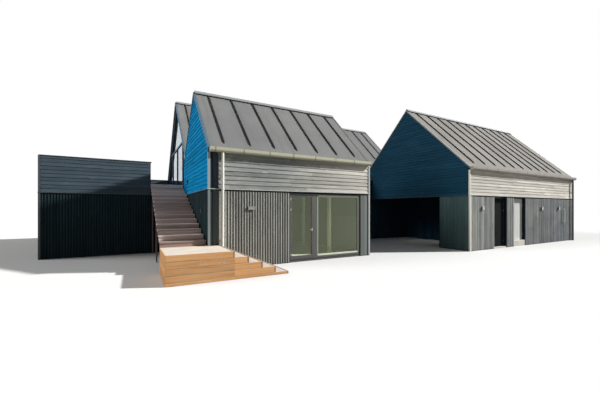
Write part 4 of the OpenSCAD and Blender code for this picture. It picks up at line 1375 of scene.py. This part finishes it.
@dataclass
class Steps(Assembly):
    """The landing and the garden steps: courses of sleepers round a pale packed fill."""

    sleeper: float = 0.05
    dip: float = 0.01
    fill_t: float = 0.035
    fill_ease: float = 0.002
    top_ease: float = 0.001
    count: int = 4
    share: float = 0.45
    going: float = 0.405
    step_in: float = 0.01
    wall_gap: float = 0.065
    ease: float = 0.006
    seam: float = 0.005
    draw: random.Random = field(default_factory=lambda: random.Random(11))

    def beam(self, low: Point, high: Point, ease: float | None = None) -> Piece:
        """One sleeper or block of fill with eased edges and a tone of its own.

        Args:
            low: Lowest corner.
            high: Highest corner.
            ease: Width of the rounding, where it isn't the sleepers' own.

        Returns:
            The beam.
        """
        piece = soften(start_block("beam", low, high), ease or self.ease)
        set_tone(piece.data, self.draw.random())
        return piece

    def build(self) -> None:
        """Stacks the sleepers and lays the fill."""
        (x0, y0, _), (x1, y1, top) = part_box("landing")
        rise = top / (self.count + self.share)
        wall_x, wall_y = self.house.wing_x[0] - self.wall_gap, self.house.wing_y[0] - self.wall_gap
        thick = self.sleeper
        edges, noses, fills = [], [], []
        for course in range(self.count + 1):
            high = top - course * rise
            low = max(0.0, high - rise) + self.seam
            end = x1 + course * self.going
            front = y0 if course == 0 else y0 + self.step_in
            edges += [self.beam((x0, y0, low), (x1 - (0 if course else thick), y0 + thick, high)),
                      self.beam((x0, y0 + thick, low), (x0 + thick, y1, high)),
                      self.beam((x0 + thick, y1 - thick, low), (wall_x - thick, y1, high)),
                      self.beam((wall_x - thick, wall_y - thick, low), (wall_x, y1, high)),
                      self.beam((wall_x, wall_y - thick, low), (x1 - thick, wall_y, high))]
            noses.append(self.beam((end - thick, front, low), (end, wall_y, high)))
            if course:
                edges.append(self.beam((x1 - thick, y0 + thick, low), (x1, wall_y, high)))
                edges.append(self.beam((x1, front, low), (end - thick, front + thick, high)))
                fills.append(self.beam((end - self.going, front + thick, 0),
                                       (end - thick, wall_y, high - self.dip), self.fill_ease))
        deep = top - self.dip
        for start, far_x, far_y in ((x0 + thick, wall_x - thick, y1 - thick),
                                    (wall_x - thick, x1 - thick, wall_y - thick)):
            fills.append(self.beam((start, y0 + thick, deep - self.fill_t), (far_x, far_y, deep),
                                   self.top_ease))
        self.keep(join("sleeper_courses", edges), "edge_timber", EDGE_WOOD,
                  replaces=("landing", "garden_steps"))
        self.keep(join("sleeper_noses", noses), "edge_timber", NOSE_WOOD)
        self.keep(join("packed_fill", fills), "concrete", FILL)


@dataclass
class DoorBoards(Assembly):
    """Thin upright boards on the two boarded leaves, which turn with them."""

    thick: float = 0.005
    groove: float = 0.004
    width: float = 0.13
    hinge_edge: float = 0.036
    free_edge: float = 0.004
    level_edge: float = 0.006
    leaf_t: float = 0.06
    ease: float = 0.002
    draw: random.Random = field(default_factory=lambda: random.Random(3))

    def build(self) -> None:
        """Boards both leaves."""
        for body, style in (("dark_door", DARK_DOOR), ("grey_door", GREY_DOOR)):
            node = "annex_" + body
            low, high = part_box(node)
            face = high.y - self.leaf_t
            start, end = low.x + self.free_edge, high.x - self.hinge_edge
            count = round((end - start) / self.width)
            pitch = (end - start) / count
            model = start_block("door_board", (0, face - self.thick, low.z + self.level_edge),
                                (pitch - self.groove, face, high.z - self.level_edge))
            bevel_where(model, lambda co: co.y < face - self.thick / 2, self.ease)
            boards = [place_copy(model, Matrix.Translation((start + index * pitch, 0, 0)), self.draw.random())
                      for index in range(count)]
            drop(model)
            self.keep(join(node + "_boards", boards), body, style, body=body)


@dataclass
class Glazing(Assembly):
    """Cream beads that hold the wing's fixed pane, and a sill under the whole glazing."""

    bead: float = 0.06
    pane_from: float = 3.949
    front: float = 0.034
    back: float = 0.059
    frame: float = 0.04
    low: float = 0.16
    sill_low: float = 0.086
    sill_out: float = 0.012
    sill_in: float = 0.02
    sill_t: float = 0.014
    sill_gap: float = 0.004
    ease: float = 0.003

    def build(self) -> None:
        """Fits the beads and the sill."""
        (start, _, _), (end, _, top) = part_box("wing_glazing_frame")
        x0, x1, z0, z1 = HOME.x + self.pane_from, end - self.frame, self.low, top - self.frame
        y0, y1 = HOME.y + self.front, HOME.y + self.back
        bars = [((x0, z0), (x0 + self.bead, z1)), ((x1 - self.bead, z0), (x1, z1)),
                ((x0 + self.bead, z0), (x1 - self.bead, z0 + self.bead)),
                ((x0 + self.bead, z1 - self.bead), (x1 - self.bead, z1))]
        beads = [soften(start_block("bead", (low[0], y0, low[1]), (high[0], y1, high[1])), self.ease)
                 for low, high in bars]
        self.keep(join("pane_beads", beads), "pale_trim", BEAD_PAINT)
        sill = start_block("glazing_sill",
                           (start + self.sill_gap, y0 - self.sill_out - self.sill_in, self.sill_low),
                           (end - self.sill_gap, y0, self.sill_low + self.sill_t))
        self.keep(soften(sill, self.ease), "dark_frames", JAMB_PAINT)


@dataclass
class Lamps(Assembly):
    """Box lamps with a stem behind, a panel let into the face and a lens underneath."""

    level: float = 1.945
    stem: float = 0.032
    stem_in: float = 0.001
    wing_at: float = 1.36
    wing_size: Point = (0.24, 0.048, 0.11)
    annex_at: Point = (0.925, 6.55, 8.58)
    annex_size: Point = (0.18, 0.06, 0.15)
    step_at: Sequence[Span] = ((0.895, 1.84), (3.9, 3.06))
    step_size: Point = (0.1, 0.05, 0.14)
    rim: float = 0.012
    lens_in: float = 1.4
    lens_up: float = 1.5
    lens_low: float = 0.006
    ease: float = 0.004

    def lamp(self, size: Point) -> tuple[Piece, Piece]:
        """Models one lamp against the plane y = 0, centred on x = 0 and z = 0.

        Args:
            size: Width, depth and height of its case.

        Returns:
            The case with its stem, and the lens.
        """
        wide, deep, tall = size
        back = -self.stem
        case = start_block("case", (-wide / 2, back - deep, -tall / 2), (wide / 2, back, tall / 2))
        for chosen, step in ((lambda co: co.y < back - deep + NEAR, (0, self.ease, 0)),
                             (lambda co: co.z < NEAR - tall / 2, (0, 0, 2 * self.rim))):
            pick(case, chosen, "FACE")
            bpy.ops.mesh.inset(thickness=self.rim)
            bpy.ops.transform.translate(value=step)
            leave_edit()
        soften(case, self.ease / 2, 1)
        stem = start_block("stem", (-wide / 3, back - self.stem_in, -tall / 3), (wide / 3, 0, tall / 3))
        soften(stem, self.ease, 1)
        side = self.lens_in * self.rim
        lens = start_block("lens", (-wide / 2 + side, back - deep + side, self.lens_low - tall / 2),
                           (wide / 2 - side, back - side, self.lens_up * self.rim - tall / 2))
        return join("case", [case, stem]), soften(lens, self.ease / 2, 1)

    def build(self) -> None:
        """Hangs every lamp."""
        x0, y0 = self.house.wing_x[0], self.house.wing_y[0]
        annex_x, annex_y = self.house.annex_x[0], self.house.annex_y[0]
        places = [(self.wing_size, Matrix.Translation((x0 + self.wing_at, y0, self.level)))]
        places += [(self.annex_size, Matrix.Translation((annex_x + at, annex_y, self.level)))
                   for at in self.annex_at]
        west = Matrix.Rotation(-math.pi / 2, 4, "Z")
        places += [(self.step_size, Matrix.Translation((x0, y0 + along, high)) @ west)
                   for along, high in self.step_at]
        cases, lenses = [], []
        for size, place in places:
            for part, kept in zip(self.lamp(size), (cases, lenses)):
                kept.append(place_copy(part, place, MIDDLE_TONE))
                drop(part)
        self.keep(join("lamp_case_set", cases), "lamp_cases", LAMP_PAINT, replaces=("wall_lamps",))
        self.keep(join("lamp_lens_set", lenses), "lamp_cases", LENS)


@dataclass
class PhotoCamera:
    """The camera at the photograph's place, in the row frame."""

    place: Point = (-10.3665, -15.830, 1.9)
    heading: Point = (0.4843, 0.8749)
    lens: float = 18.108
    sensor: float = 36.0
    rise: float = 0.0152
    reach: float = 2000.0

    def build(self) -> None:
        """Adds the camera and makes it the scene's."""
        data = bpy.data.cameras.new("camera")
        data.lens, data.sensor_width, data.shift_y = self.lens, self.sensor, self.rise
        data.clip_end = self.reach
        camera = bpy.data.objects.new("camera", data)
        camera.location = self.place
        camera.rotation_euler = (math.pi / 2, 0, -math.atan2(*self.heading))
        bpy.context.scene.collection.objects.link(camera)
        bpy.context.scene.camera = camera


@dataclass
class Studio:
    """A pale floor that fades into a white background, a key, a weak side lamp and an even fill."""

    floor_half: float = 400.0
    fade: Span = (38.0, 90.0)
    floor_face: Colour = (0.66, 0.656, 0.645, 1.0)
    floor_bounce: Colour = (0.15, 0.149, 0.145, 1.0)
    floor_rough: float = 0.9
    floor_sheen: float = 0.1
    fill: float = 0.16
    key: float = 5.8
    key_from: Point = (2.2, -1.0, 1.8)
    key_angle: float = 2.5
    side: float = 1.8
    side_from: Point = (-1.0, 0.3, 0.6)
    side_angle: float = 30.0

    def build(self) -> None:
        """Adds the floor, the lamps and the world."""
        self.floor()
        self.lamp("key", self.key, self.key_from, self.key_angle)
        self.lamp("side", self.side, self.side_from, self.side_angle)
        self.world()
        bpy.context.scene.view_settings.view_transform = "Standard"

    def lamp(self, name: str, power: float, source: Point, angle: float) -> None:
        """Adds one far lamp.

        Args:
            name: The lamp's name.
            power: Its strength.
            source: The way to it.
            angle: How wide it looks, in degrees.
        """
        lamp = bpy.data.lights.new(name, "SUN")
        lamp.energy, lamp.angle = power, math.radians(angle)
        sun = bpy.data.objects.new(name, lamp)
        sun.rotation_euler = Vector(source).to_track_quat("Z", "Y").to_euler()
        bpy.context.scene.collection.objects.link(sun)

    def floor(self) -> None:
        """Adds the floor, whose far part takes the background's white."""
        clear_selection()
        bpy.ops.mesh.primitive_plane_add(size=2 * self.floor_half)
        floor = bpy.context.active_object
        floor.name = "studio_floor"
        graph = Graph("studio_floor")
        away = graph.node("ShaderNodeVectorMath", {0: graph.coords()}, operation="LENGTH").outputs["Value"]
        bounce = graph.node("ShaderNodeLightPath").outputs["Is Diffuse Ray"]
        graph.set(Base_Color=graph.mix(bounce, self.floor_face, self.floor_bounce),
                  Roughness=self.floor_rough, Specular_IOR_Level=self.floor_sheen)
        glow = graph.node("ShaderNodeEmission", {"Color": WHITE, "Strength": 1.0})
        graph.blend(graph.spread(away, *self.fade), glow)
        floor.data.materials.append(graph.material)

    def world(self) -> None:
        """Lights the house evenly, and shows plain white to the camera, to gloss and to glass."""
        world = bpy.data.worlds.new("studio")
        bpy.context.scene.world = world
        world.use_nodes = True
        wiring = Wiring(world.node_tree)
        rays = wiring.node("ShaderNodeLightPath").outputs
        seen = wiring.math("MAXIMUM", rays["Is Camera Ray"], rays["Is Glossy Ray"])
        seen = wiring.math("MAXIMUM", seen, rays["Is Transmission Ray"])
        even, white = (wiring.node("ShaderNodeBackground", {"Color": WHITE, "Strength": power}).outputs[0]
                       for power in (self.fill, 1.0))
        mixed = wiring.node("ShaderNodeMixShader", {0: seen, 1: even, 2: white})
        wiring.node("ShaderNodeOutputWorld", {0: mixed.outputs[0]})


def dress_frame(house: House) -> None:
    """Gives every node of the frame its finish.

    Args:
        house: The house's plan and finishes.
    """
    for style, names in NODE_FINISHES.items():
        for name in names:
            node = frame["nodes"][name]
            if node.material_slots:
                node.material_slots[0].material = house.finish(style)
            else:
                node.data.materials.append(house.finish(style))


def main() -> None:
    """Builds the camera, the finishes, the parts of the house and the studio in order."""
    logging.basicConfig(level=logging.INFO, format="%(name)s %(message)s")
    PhotoCamera().build()
    house = House()
    dress_frame(house)
    for part in (Walls, Terrace, Stair, Steps, DoorBoards, Glazing, Lamps):
        part(house).build()
    Studio().build()


if __name__ == "__main__":
    main()
